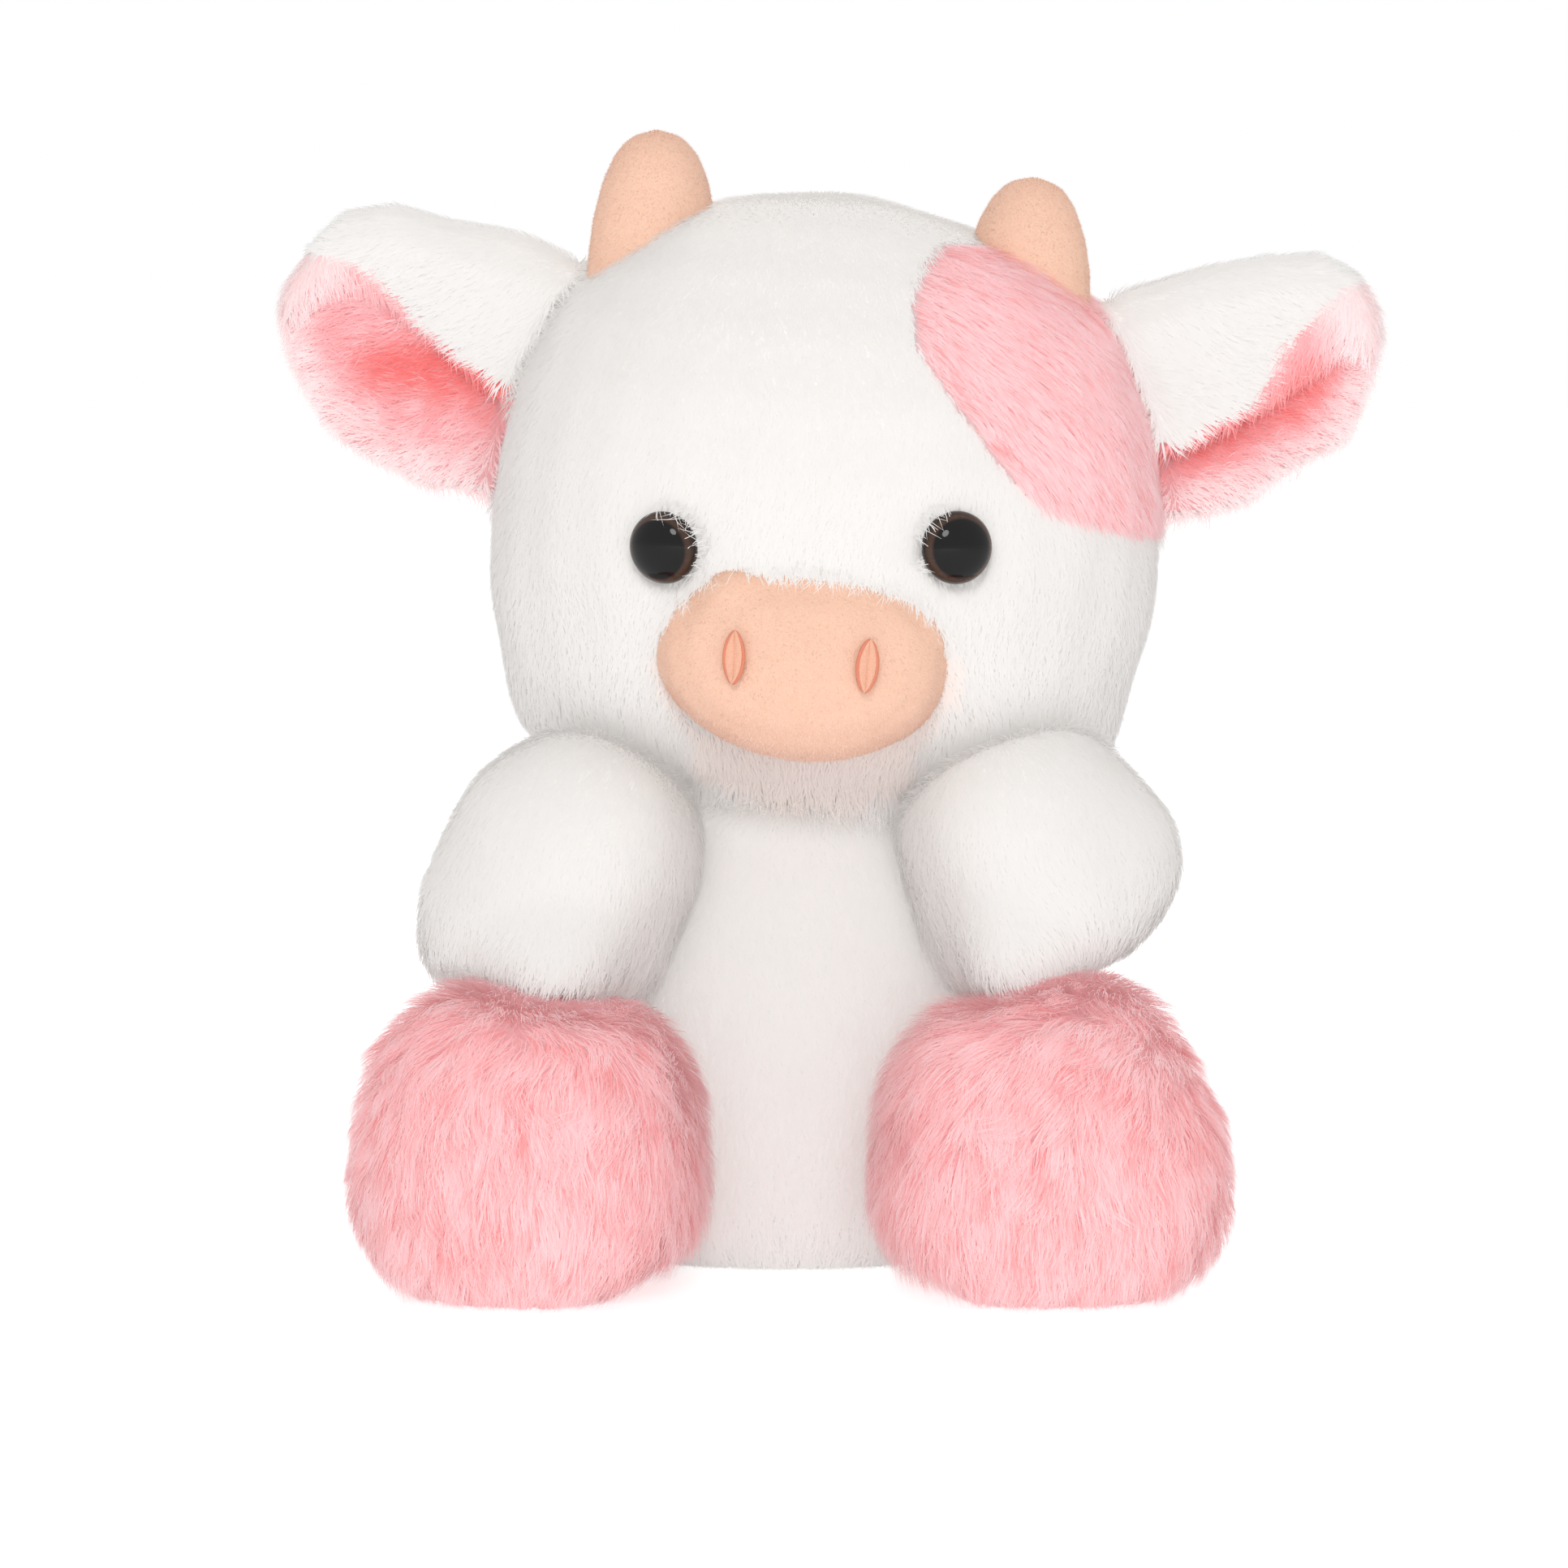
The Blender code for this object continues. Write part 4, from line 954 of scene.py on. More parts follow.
class PLUSHCOW_OT_head(bpy.types.Operator):
    """Make the stuffed head with its white pile and the pink patch let into it"""

    bl_idname = "plush_cow.head"
    bl_label = "Head"

    def execute(self, context):
        form = sewn_form(["head_cover", "head_patch"], 2 * MM, 30, 0.3 * MM)
        form.push(1.3 * MM * ramp(form.points[:, 2], 196 * MM, 212 * MM))
        form.shift("head")
        middles = [eye_stand(word) for _, word in SIDES]
        eye_gap = np.min([
            lengths(form.points - middle) - radius for middle, _, radius, _ in middles], axis=0)
        form.push(-0.9 * MM * fade(eye_gap, -6 * MM, 9 * MM))
        neck = away_from(form, "neck_thread", reach=10 * MM)
        form.push(1.6 * MM * fade(neck, 0, 7 * MM))
        ears = nearest_gap(form, [
            tree_of(*node_surface(f"ear_{word}_back")) for _, word in SIDES])
        form.push(0.9 * MM * fade(ears, 1 * MM, 6 * MM))
        patch = self.patch_share(form)
        snout = away_from(form, "snout_cover")
        horns = nearest_gap(form, [solid_tree(f"horn_{word}_cover") for _, word in SIDES])
        press = nearest_gap(form, [solid_tree(f"arm_{word}_cover") for _, word in SIDES])
        gap = np.min([horns, snout, press, np.maximum(ears, 3 * MM)], axis=0)
        gap = np.minimum(gap, np.maximum(away_from(form, "body_cover"), 0))
        self.skins(form, patch)
        flow = downward(form, seed=21, swirl=26)
        chin = fade(neck, 0, 9 * MM)
        below = fade(form.points[:, 2], 100 * MM, 124 * MM)
        # Painted shade round the eyes; painted light on the lower face and beside the ears
        painted_shade_and_light = 0.3 * fade(eye_gap, 0.5 * MM, 7 * MM) - 0.14 * below
        painted_shade_and_light -= 0.1 * fade(ears, 1 * MM, 8 * MM)
        share = 0.85 - 0.2 * fade(eye_gap, 0, 6 * MM) + 0.25 * below + 0.9 * chin
        bare = np.where(eye_gap < -0.1 * MM, -1.0, 1.0)
        brow = ramp(form.points[:, 2], 126 * MM, 134 * MM)
        rise = np.max([
            0.5 * fade(eye_gap, 0, 3 * MM), 0.62 * fade(snout, 0, 3 * MM) * brow,
            0.45 * chin, 0.3 * fade(ears, 0, 6 * MM)], axis=0)
        share = share + 0.5 * fade(ears, 0, 7 * MM)
        keep = np.minimum(bare, -patch * 1e3)
        sway = 16 + 22 * fade(snout, 0, 3 * MM)
        beside = np.abs(form.points[:, 0] - FACE_MIDDLE) > 22 * MM
        reach = np.where(beside, 2.3 * MM, 13 * MM) + 1.1 * MM * lumps(form.points, 5 * MM, 29)
        # The white pile that takes the painted reflection of the snout
        snout_bounce = (snout < reach) & (form.points[:, 2] < np.where(beside, 126 * MM, 112 * MM))
        for name, chosen, pile in (
                ("head_pile", ~snout_bounce, None), ("blush_pile", snout_bounce, self.snout_bounce_look())):
            white_pile(name, form, "head", gap, flow, 0.9 - painted_shade_and_light, share,
                       np.where(chosen, keep, -1.0), 22, press, sway=sway, rise=rise, pile=pile)
        self.patch_pile(form, patch, gap)
        self.strays(form, eye_gap, snout, middles)
        add_filling("head_stuffing", "head")
        return {"FINISHED"}

    def snout_bounce_look(self):
        """The white pile beside and below the snout, with a painted reflection of the snout's
        colour on it.
        """
        look = pile_settings()
        return pile_look("blush_pile", look.white_shaded, *SNOUT_BOUNCE_COLOURS, 0.12)

    def strays(self, form, eye_gap, snout, stands):
        """The pile's strands that stray over the eyes and the top of the snout."""
        look = pile_settings()
        middles = np.array([stand[0] for stand in stands])
        nearest = lengths(form.points - middles[0]) > lengths(form.points - middles[1])
        flow = middles[nearest.astype(int)] - form.points
        seeds = Seeds(form, look.white_density * 0.9, 27)
        off = seeds.at(eye_gap)
        clump = lumps(seeds.points, 2.5 * MM, 28)
        between = unit(seeds.at(flow))
        side = between[:, 0] * np.sign(seeds.points[:, 0] - FACE_MIDDLE) - 0.5 * between[:, 2]
        eyes = (off > 0.2 * MM) & (off < 2.6 * MM) & (clump > 0.9 - 1.3 * side)
        brow = seeds.at(snout)
        brow = (brow > 0.2 * MM) & (brow < 2.4 * MM) & (seeds.points[:, 2] > 131 * MM)
        for name, chosen, way, longer in (
                ("eye_strays", eyes, flow, 1.9), ("brow_strays", brow & (clump > -0.2), -UP, 1.3)):
            some = seeds.keep(chosen)
            way = np.broadcast_to(way, flow.shape)
            reach = longer * look.white_length * some.chance.uniform(0.4, 1, len(some.points))
            pile_object(name, some, some.at(way), white_looks()[0], "head", reach,
                        look.white_width * 0.5, np.full(len(reach), 0.85), steps=3, lean=(8, 74),
                        sway=30, tuft=0.2, tuft_share=0.3)

    def patch_share(self, form):
        """Above zero on the patch and below zero off it, in metres from its edge."""
        cover = outer_tree(*node_surface("head_cover"))
        patch = outer_tree(*node_surface("head_patch"))
        to_cover = np.array([cover.find_nearest(point)[3] for point in form.points])
        to_patch = np.array([patch.find_nearest(point)[3] for point in form.points])
        share = form.spread(np.clip(to_cover - to_patch, -9 * MM, 9 * MM), 5)
        height = form.points[:, 2]
        share = share + 2.5 * MM * ramp(height, 200 * MM, 208 * MM)
        aside = np.interp(height, *PATCH_SIDE) - form.points[:, 0]
        return np.min((share, aside, height - PATCH_LOW), axis=0)

    def skins(self, form, patch):
        pink = patch[form.faces].mean(axis=1) > 0
        for name, faces, look, node in (
                ("head_skin", form.faces[~pink], white_looks()[1], "head_cover"),
                ("patch_skin", form.faces[pink], pink_looks()[1], "head_patch")):
            used, back = np.unique(faces, return_inverse=True)
            piece = Form(form.points[used], back.reshape(-1, 4))
            skin_object(name, piece, look, "head", [node])

    def patch_pile(self, form, patch, gap):
        look = pile_settings()
        seeds = Seeds(form, look.pink_density * 1.1, 23)
        seeds = seeds.keep((seeds.at(patch) > 0) & (seeds.at(gap) > -0.3 * MM))
        edge = ramp(patch, 0, 5 * MM)
        flow = downward(form, (0.75, 0.1), 14, 9 * MM, 24)
        # Painted shade: darker close to the neighbouring pieces
        tone = 0.6 + 0.1 * edge - 0.35 * fade(gap, 0, 8 * MM)
        tone = tone + 0.1 * lumps(form.points, 6 * MM, 25)
        pile_object(
            "patch_pile", seeds, seeds.at(flow), pink_looks()[0], "head",
            look.patch_length * seeds.at(0.7 + 0.3 * edge), look.pink_width, seeds.at(tone),
            steps=3, lean=(60, 86), sway=9, tuft=0.45, tuft_share=0.1, streak=0.1,
            grain=0.2)


def eye_stand(word):
    """Middle of an eye's rim, the way that it looks, its radius and its height."""
    points = node_surface("eye_" + word)[0]
    middle = points.mean(axis=0)
    washer = node_surface("eye_washer_" + word)[0].mean(axis=0)
    out = unit((middle - washer)[None])[0]
    height = (points - middle) @ out
    across = lengths(points - middle - height[:, None] * out)
    wide = across > 0.97 * across.max()
    level = height[wide].mean()
    return middle + out * level, out, across.max(), height.max() - level


class PLUSHCOW_OT_eyes(bpy.types.Operator):
    """Make the glossy eyes and the look of their washers"""

    bl_idname = "plush_cow.eyes"
    bl_label = "Eyes"

    def execute(self, context):
        look = self.eye_look(context.scene.plush_eyes)
        for _, word in SIDES:
            middle, out, radius, height = eye_stand(word)
            rings = [(share, level * MM) for share, level in EYE_BACK]
            rings += [(cos(step * pi / 36), height * sin(step * pi / 36)) for step in range(18)]
            points, faces, marks = [], [], []
            aside = unit(np.cross(out, UP)[None])[0]
            above = np.cross(aside, out)
            for share, level in rings:
                for step in range(EYE_SIDES):
                    turn = 2 * pi * step / EYE_SIDES
                    arm = aside * cos(turn) + above * sin(turn)
                    points.append(middle + arm * (share * radius) + out * level)
                    mark = EYE_MAP * share
                    marks.append((0.5 + mark * cos(turn), 0.5 + mark * sin(turn)))
            for ring in range(len(rings) - 1):
                low = ring * EYE_SIDES
                high = low + EYE_SIDES
                for step in range(EYE_SIDES):
                    after = (step + 1) % EYE_SIDES
                    faces.append((low + step, low + after, high + after, high + step))
            made = self.domed(word, points, faces, marks, look)
            finish(made, "head", ["eye_" + word])
            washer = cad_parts["eye_washer_" + word]
            washer.data.materials[0] = cloth_look(
                "washer_plastic", *WASHER_COLOURS, 300.0, 0.1, 0.4)
        return {"FINISHED"}

    def domed(self, word, points, faces, marks, look):
        """The dome and its shank from rings of points, closed at both ends."""
        mesh = bmesh.new()
        corners = [mesh.verts.new(point) for point in points]
        layer = mesh.loops.layers.uv.new(TONE_MAP)
        sides = [[corners[index] for index in face] for face in faces]
        sides += [corners[:EYE_SIDES][::-1], corners[-EYE_SIDES:]]
        place = {corner: mark for corner, mark in zip(corners, marks)}
        for side in sides:
            face = mesh.faces.new(side)
            face.smooth = True
            for loop in face.loops:
                loop[layer].uv = place[loop.vert]
        bmesh.ops.recalc_face_normals(mesh, faces=mesh.faces)
        data = bpy.data.meshes.new("eye_dome_" + word)
        mesh.to_mesh(data)
        mesh.free()
        data.materials.append(look)
        return linked("eye_dome_" + word, data)

    def eye_look(self, eyes):
        """Look of clear plastic over a pupil and an iris with fine spokes."""
        made, nodes, shader = shader_material("glossy_eye", 0.06, {"Specular IOR Level": 0.25})
        place = nodes.add("ShaderNodeUVMap", uv_map=TONE_MAP).outputs[0]
        parts = nodes.add("ShaderNodeSeparateXYZ", {0: place}).outputs
        across = nodes.maths("SUBTRACT", parts[0], 0.5)
        above = nodes.maths("SUBTRACT", parts[1], 0.5)
        squares = nodes.maths(
            "ADD", nodes.maths("POWER", across, 2), nodes.maths("POWER", above, 2))
        radius = nodes.maths("DIVIDE", nodes.maths("SQRT", squares), EYE_MAP)
        turn = nodes.maths("ARCTAN2", above, across)
        spokes = nodes.add("ShaderNodeCombineXYZ", {
            0: nodes.maths("COSINE", turn), 1: nodes.maths("SINE", turn),
            2: nodes.maths("MULTIPLY", radius, 0.3)}).outputs[0]
        fibre = nodes.noise(spokes, 14.0)
        edge = nodes.add("ShaderNodeMapRange", {
            "Value": radius, "From Min": eyes.pupil_share - 0.02,
            "From Max": eyes.pupil_share + 0.05}).outputs[0]
        rim = nodes.add("ShaderNodeMapRange", {
            "Value": radius, "From Min": 0.90, "From Max": 0.99}).outputs[0]
        brown = nodes.mix(fibre, opaque(scaled(eyes.iris, 0.6)), opaque(scaled(eyes.iris, 1.5)))
        colour = nodes.mix(edge, opaque(eyes.pupil), brown)
        join(nodes, nodes.mix(rim, colour, opaque(scaled(eyes.iris, 0.2))), shader, "Base Color")
        return made


class PLUSHCOW_OT_snout(bpy.types.Operator):
    """Make the velour snout with its seam and its satin-stitched nostrils"""

    bl_idname = "plush_cow.snout"
    bl_label = "Snout"

    def execute(self, context):
        form = sewn_form(["snout_cover"], 1.2 * MM, 26, 0.5 * MM)
        pucker = lengths((form.points - np.array((-12 * MM, -54 * MM, 141 * MM)))
                         * np.array((0.8, 0.5, 1)))
        form.push(2.2 * MM * fade(pucker, 1 * MM, 7 * MM))
        form.shift("snout")
        skin_object("snout_skin", form, velour_looks()[1], "head", ["snout_cover"])
        nostrils = [gaps(form.points, tree_of(*node_surface("nostril_" + word)), 9 * MM)
                    for _, word in SIDES]
        gap = np.min(nostrils, axis=0)
        # Painted light: the lower snout is made lighter
        low = fade(form.points[:, 2], 102 * MM, 128 * MM)
        velour_nap("snout_nap", form, "head", 31, ramp(gap, -0.2 * MM, 3 * MM),
                   0.12 + 0.36 * low)
        self.seam(form)
        add_filling("snout_stuffing", "head")
        for _, word in SIDES:
            self.nostril(word)
        return {"FINISHED"}

    def seam(self, form):
        """The stitched line where the snout meets the face."""
        height = away_from(form, "head_cover", "head_patch")
        level = np.abs(height - 0.9 * MM) < 0.8 * MM
        middle = form.points.mean(axis=0)
        edge = form.points[level] - middle
        turn = np.arctan2(edge[:, 2], edge[:, 0])
        line = []
        for step in range(SEAM_STEPS):
            angle = -pi + 2 * pi * (step + 0.5) / SEAM_STEPS
            off = np.abs((turn - angle + pi) % (2 * pi) - pi)
            near = edge[off < 0.12]
            reach = np.hypot(near[:, 0], near[:, 2])
            line.append(near[reach > np.percentile(reach, 70)].mean(axis=0) + middle)
        line = np.array(line)
        for _ in range(3):
            line = (line * 2 + np.roll(line, 1, axis=0) + np.roll(line, -1, axis=0)) / 4
        line[:, 1] += 2.5 * MM * ramp(line[:, 2], 118 * MM, 132 * MM)
        made = thread_line("snout_seam", line, 0.2 * MM)
        made.data.materials.append(thread_look("seam_thread", SEAM_THREAD))
        finish(made, "head")

    def nostril(self, word):
        """Rows of satin thread across an oval, drawn in along its middle."""
        points = node_surface("nostril_" + word)[0]
        middle = points.mean(axis=0)
        spread = np.linalg.svd(points - middle)[2]
        tall, across, out = spread[0], spread[1], spread[2]
        tall = tall if tall[2] > 0 else -tall
        out = out if out[1] < 0 else -out
        across = np.cross(tall, out)
        half = np.abs((points - middle) @ tall).max()
        wide = np.abs((points - middle) @ across).max()
        proud = ((points - middle) @ out).max()
        half, wide = 0.9 * half, 0.86 * wide
        curve = thread_curve("nostril_thread_" + word, 0.21 * MM)
        for row in range(NOSTRIL_ROWS):
            height = (row + 0.5) / NOSTRIL_ROWS * 2 - 1
            reach = wide * max(0.03, 1 - abs(height) ** 2) ** 0.7
            for side in (-1, 1):
                line = curve.splines.new("POLY")
                shares = (0.0, 0.16, 0.42, 0.7, 0.9, 1.0)
                line.points.add(len(shares) - 1)
                for point, share in zip(line.points, shares):
                    rise = 0.55 * MM * sin(pi * min(1, share * 0.92 + 0.05)) - 0.15 * MM
                    slant = height * half + share * 0.35 * MM * side
                    place = (middle + tall * slant + across * (side * share * reach)
                             + out * (proud * 0.5 + rise))
                    point.co = (*place, 1)
        made = linked("nostril_thread_" + word, curve)
        curve.materials.append(thread_look("satin_thread", pile_settings().thread))
        finish(made, "head", ["nostril_" + word])
        ring = []
        for step in range(NOSTRIL_STEPS):
            turn = 2 * pi * step / NOSTRIL_STEPS
            reach = wide * abs(cos(turn)) ** 1.4 * (1 if cos(turn) > 0 else -1)
            ring.append(middle + tall * (half * sin(turn)) + across * reach + out * proud * 0.55)
        made = thread_line("nostril_edge_" + word, ring, 0.4 * MM)
        made.data.materials.append(thread_look("edge_thread", EDGE_THREAD))
        finish(made, "head")


def velour_looks():
    look = pile_settings()
    pile = pile_look("peach_nap", scaled(look.velour, 0.66), look.velour,
                     look.velour_light, 0.4, 0.3)
    return pile, cloth_look("peach_backing", scaled(look.velour, 0.82), scaled(look.velour, 0.96))


def velour_nap(name, form, body, seed, keep, painted_light=0.0):
    """Short velour nap over a cover, lighter where painted light is given."""
    look = pile_settings()
    seeds = Seeds(form, look.nap_density, seed)
    seeds = seeds.keep(seeds.at(keep) > 0.05)
    flow = downward(form, seed=seed, swirl=40, size=5 * MM)
    tone = 0.5 + painted_light + 0.2 * lumps(form.points, 4 * MM, seed)
    pile_object(name, seeds, seeds.at(flow), velour_looks()[0], body,
                np.full(len(seeds.points), look.nap_length), 0.17 * MM, seeds.at(tone),
                steps=1, lean=(48, 48), sway=35, tuft=0.0, tuft_share=0.25, streak=0.25,
                grain=0.25, shadows=True)


class PLUSHCOW_OT_horns(bpy.types.Operator):
    """Make the two velour horns"""

    bl_idname = "plush_cow.horns"
    bl_label = "Horns"

    def execute(self, context):
        for index, (_, word) in enumerate(SIDES):
            name = f"horn_{word}"
            points = node_surface(name + "_cover")[0]
            root = points[points[:, 2] < np.percentile(points[:, 2], 20)].mean(axis=0)
            inward = unit((root - points[points[:, 2].argmax()])[None])[0] * 3 * MM
            form = sewn_form([name + "_cover"], 1 * MM, 20, -0.9 * MM, inward)
            skin_object(name + "_skin", form, velour_looks()[1], "head", [name + "_cover"])
            velour_nap(name + "_nap", form, "head", 41 + index, np.ones(len(form.points)))
            add_filling(name + "_stuffing", "head")
        return {"FINISHED"}


class PLUSHCOW_OT_ears(bpy.types.Operator):
    """Make the floppy ears: a white back folded over a pink lining"""

    bl_idname = "plush_cow.ears"
    bl_label = "Ears"

    def execute(self, context):
        for index, (side, word) in enumerate(SIDES):
            body = "ear_" + word
            back = cloth_form(body + "_back", 0.8 * MM, 6)
            lining = cloth_form(body + "_lining", 0.8 * MM, 6)
            back.shift(body)
            lining.shift(body)
            skin_object(body + "_back_skin", back, white_looks()[1], body,
                        [body + "_back"], 0.2 * MM)
            skin_object(body + "_lining_skin", lining, lining_looks()[1], body,
                        [body + "_lining"], 0.2 * MM)
            self.back_pile(word, side, back, lining, 51 + index)
            self.lining_pile(word, side, back, lining, 61 + index)
        return {"FINISHED"}

    def facing(self, form, other, reach):
        """1 where the other cloth lies close in front of a point, else 0."""
        tree = tree_of(other.points, other.triangles)
        normals = form.normals()
        covered = np.zeros(len(form.points))
        for index, (point, normal) in enumerate(zip(form.points, normals)):
            start = Vector(point) + Vector(normal) * 0.05 * MM
            if tree.ray_cast(start, Vector(normal), reach)[0] is not None:
                covered[index] = 1
        return covered

    def flow(self, form, side, seed):
        """Out to the tip, fanned round the rim, and back over the seam at the root."""
        fan = fade(self.rim(form, side), 1 * MM, 7 * MM)
        outward = form.points - form.points.mean(axis=0)
        outward[:, 1] = 0
        head = away_from(form, "head_cover", "head_patch", reach=8 * MM)
        root = fade(head, 1 * MM, 5 * MM)
        along = np.array((side * 0.9, -0.05, -0.35)) + 0.4 * fan[:, None] * unit(outward)
        along[:, 0] -= side * 2.2 * root
        normals = form.normals()
        along = laid(along, normals)
        return turned(along, normals, radians(24) * lumps(form.points, 12 * MM, seed))

    def rim(self, form, side):
        """Distance of each point from the ear's outline, seen from the front."""
        flat = form.points[:, (0, 2)]
        edges = []
        for step in range(48):
            turn = 2 * pi * step / 48
            across = np.array((cos(turn), sin(turn)))
            if across[0] * side > -0.35:
                reach = flat @ across
                edges.append(reach.max() - reach)
        return np.min(edges, axis=0)

    def turned_edge(self, form, side, inner):
        """Above zero where the lining is turned over the tip of the ear or under its fold."""
        across, height = EAR_TURN[side]
        level = np.interp(form.points[:, 0], across, height)
        front = np.where(form.normals()[:, 1] < 0.25, level - form.points[:, 2], -5 * MM)
        return np.maximum(front, (form.spread(inner, 1) - 0.5) * MM)

    def lining_tone(self, form, side, seed):
        """Darker in the fold as painted shade, paler towards the outline."""
        fold = np.full(len(form.points), 1.0)
        flat = form.points[:, (0, 2)]
        for start, end in zip(EAR_FOLD[side][:-1], EAR_FOLD[side][1:]):
            start, way = np.array(start), np.array(end) - np.array(start)
            share = np.clip((flat - start) @ way / (way @ way), 0, 1)
            fold = np.minimum(fold, lengths(flat - start - share[:, None] * way))
        reach, depth = EAR_FOLD_SHADE[side]
        # Painted shade along the fold
        deep = fade(fold, 0, reach)
        pale = fade(self.rim(form, side), 3.5 * MM, 12 * MM)
        return 0.54 - depth * deep + 0.44 * pale + 0.1 * lumps(form.points, 5 * MM, seed)

    def back_pile(self, word, side, back, lining, seed):
        look = pile_settings()
        hidden = back.spread(self.facing(back, lining, 2.5 * MM), 1)
        seeds = Seeds(back, look.white_density * 1.1, seed)
        seeds = seeds.keep(seeds.at(hidden) < 0.5)
        tone = 0.88 + 0.04 * lumps(back.points, 8 * MM, seed)
        share = 1 - 0.25 * fade(self.rim(back, side), 0, 4 * MM)
        head = away_from(back, "head_cover", "head_patch", reach=8 * MM)
        root = fade(head, 1 * MM, 6 * MM)
        share = share + 0.8 * root
        inner = self.facing(back, lining, 16 * MM)
        turned_over = seeds.at(self.turned_edge(back, side, inner)) > 0
        flow = self.flow(back, side, seed)
        for name, chosen, material, tones, width, way, longer in (
                ("back_pile", ~turned_over, white_looks()[0], tone, look.white_width, flow, 1),
                ("turned_pile", turned_over, lining_looks()[0],
                 self.lining_tone(back, side, seed), look.pink_width,
                 flow - np.array((side * 1.3, 0, 1.2)), 1.4)):
            some = seeds.keep(chosen)
            pile_object(
                f"ear_{word}_{name}", some, some.at(way), material, "ear_" + word,
                look.white_length * longer * some.at(share), width, some.at(tones),
                rise=0.36 * some.at(root), tuft=0.2, streak=0.03, grain=0.05)

    def lining_pile(self, word, side, back, lining, seed):
        look = pile_settings()
        behind = lining.spread(self.facing(lining, back, 2.5 * MM), 1)
        seeds = Seeds(lining, look.pink_density, seed)
        seeds = seeds.keep(seeds.at(behind) < 0.5)
        share = 0.8 - 0.4 * fade(self.rim(lining, side), 0, 5 * MM)
        pile_object(
            f"ear_{word}_lining_pile", seeds, seeds.at(self.flow(lining, side, seed)),
            lining_looks()[0], "ear_" + word, look.patch_length * seeds.at(share),
            look.pink_width, seeds.at(self.lining_tone(lining, side, seed)),
            steps=3, lean=(58, 84), sway=22, tuft=0.25, tuft_share=0.08, streak=0.07,
            grain=0.07)


def lining_looks():
    look = pile_settings()
    pile = pile_look("lining_pile", look.lining_fold_shade, look.lining, look.lining_edge, 0.25)
    return pile, cloth_look("lining_backing", scaled(look.lining, 0.75), scaled(look.lining, 0.9))


class PLUSHCOW_OT_arms(bpy.types.Operator):
    """Make the two stuffed arms with their white pile"""

    bl_idname = "plush_cow.arms"
    bl_label = "Arms"

    def execute(self, context):
        for index, (side, word) in enumerate(SIDES):
            name = f"arm_{word}"
            form = sewn_form([name + "_cover"], 1.6 * MM, 26, (0.7, 0.1)[index] * MM)
            form.shift(name)
            skin_object(name + "_skin", form, white_looks()[1], name, [name + "_cover"])
            near = [solid_tree("body_cover"), solid_tree("head_cover", "head_patch"),
                    solid_tree(f"leg_{word}_cover")]
            gap = nearest_gap(form, near)
            flow = self.flow(form, side, 71 + index)
            low = ramp(form.points[:, 2], form.points[:, 2].min(), form.points[:, 2].max())
            share = 0.95 + 0.75 * fade(low, 0.02, 0.3)
            # Darker towards the bottom of the arm: painted shade
            white_pile(name + "_pile", form, name, gap, flow, 0.8 + 0.1 * low, share,
                       seed=73 + index)
            add_filling(name + "_stuffing", name)
        return {"FINISHED"}

    def flow(self, form, side, seed):
        """From the shoulder down to the paw."""
        normals = form.normals()
        fall = np.array((side * 0.25, -0.45, -0.8))
        along = unit(fall - normals * (normals @ fall)[:, None])
        return turned(along, normals, radians(24) * lumps(form.points, 14 * MM, seed))


class PLUSHCOW_OT_legs(bpy.types.Operator):
    """Make the two feet of long pink fur"""

    bl_idname = "plush_cow.legs"
    bl_label = "Feet"

    def execute(self, context):
        look = pile_settings()
        for index, (_, word) in enumerate(SIDES):
            name = f"leg_{word}"
            form = sewn_form([name + "_cover"], 1.8 * MM, 30, 1.6 * MM)
            form.shift(name)
            skin_object(name + "_skin", form, pink_looks()[1], name, [name + "_cover"])
            body = away_from(form, "body_cover")
            arm = away_from(form, f"arm_{word}_cover")
            gap = np.minimum(body, arm)
            seeds = Seeds(form, look.pink_density, 81 + index)
            low = seeds.points[:, 2] < 2.5 * MM
            seeds = seeds.keep((seeds.at(gap) > -2 * MM) & ~low)
            # Painted light where the arm rests on the foot, painted shade where the foot meets the
            # body
            tone = 0.57 + 0.1 * fade(arm, 0, 5 * MM) - 0.16 * fade(body, 0, 8 * MM)
            tone = tone + 0.04 * lumps(form.points, 8 * MM, 83 + index)
            share = (0.3 + 0.2 * ramp(gap, -1 * MM, 0) + 0.5 * ramp(gap, 0, 6 * MM)) * (
                0.6 + 0.4 * ramp(form.points[:, 2], 2 * MM, 16 * MM))
            pile_object(
                name + "_pile", seeds, seeds.at(self.flow(form, arm, 85 + index)), pink_looks()[0],
                name, look.pink_length * seeds.at(share), look.pink_width, seeds.at(tone),
                steps=3, lean=(54, 85), sway=19, tuft=0.55, tuft_share=0.05, streak=0.15,
                grain=0.21)
            add_filling(name + "_stuffing", name)
        return {"FINISHED"}

    def flow(self, form, arm, seed):
        """Out and down from where the arm rests on the foot."""
        whorl = form.points[arm < arm.min() + 1.5 * MM].mean(axis=0)
        whorl[2] = form.points[:, 2].max()
        normals = form.normals()
        along = laid(unit(form.points - whorl) + np.array((0, 0, -0.6)), normals)
        twist = lumps(form.points, 11 * MM, seed) + 0.5 * lumps(form.points, 5 * MM, seed + 9)
        high_up = ramp(form.points[:, 2], whorl[2] * 0.5, whorl[2] * 0.8)
        twist = twist + 0.9 * lumps(form.points, 19 * MM, seed + 4)
        return turned(along, normals, radians(22) * twist * (1 + 0.9 * high_up))


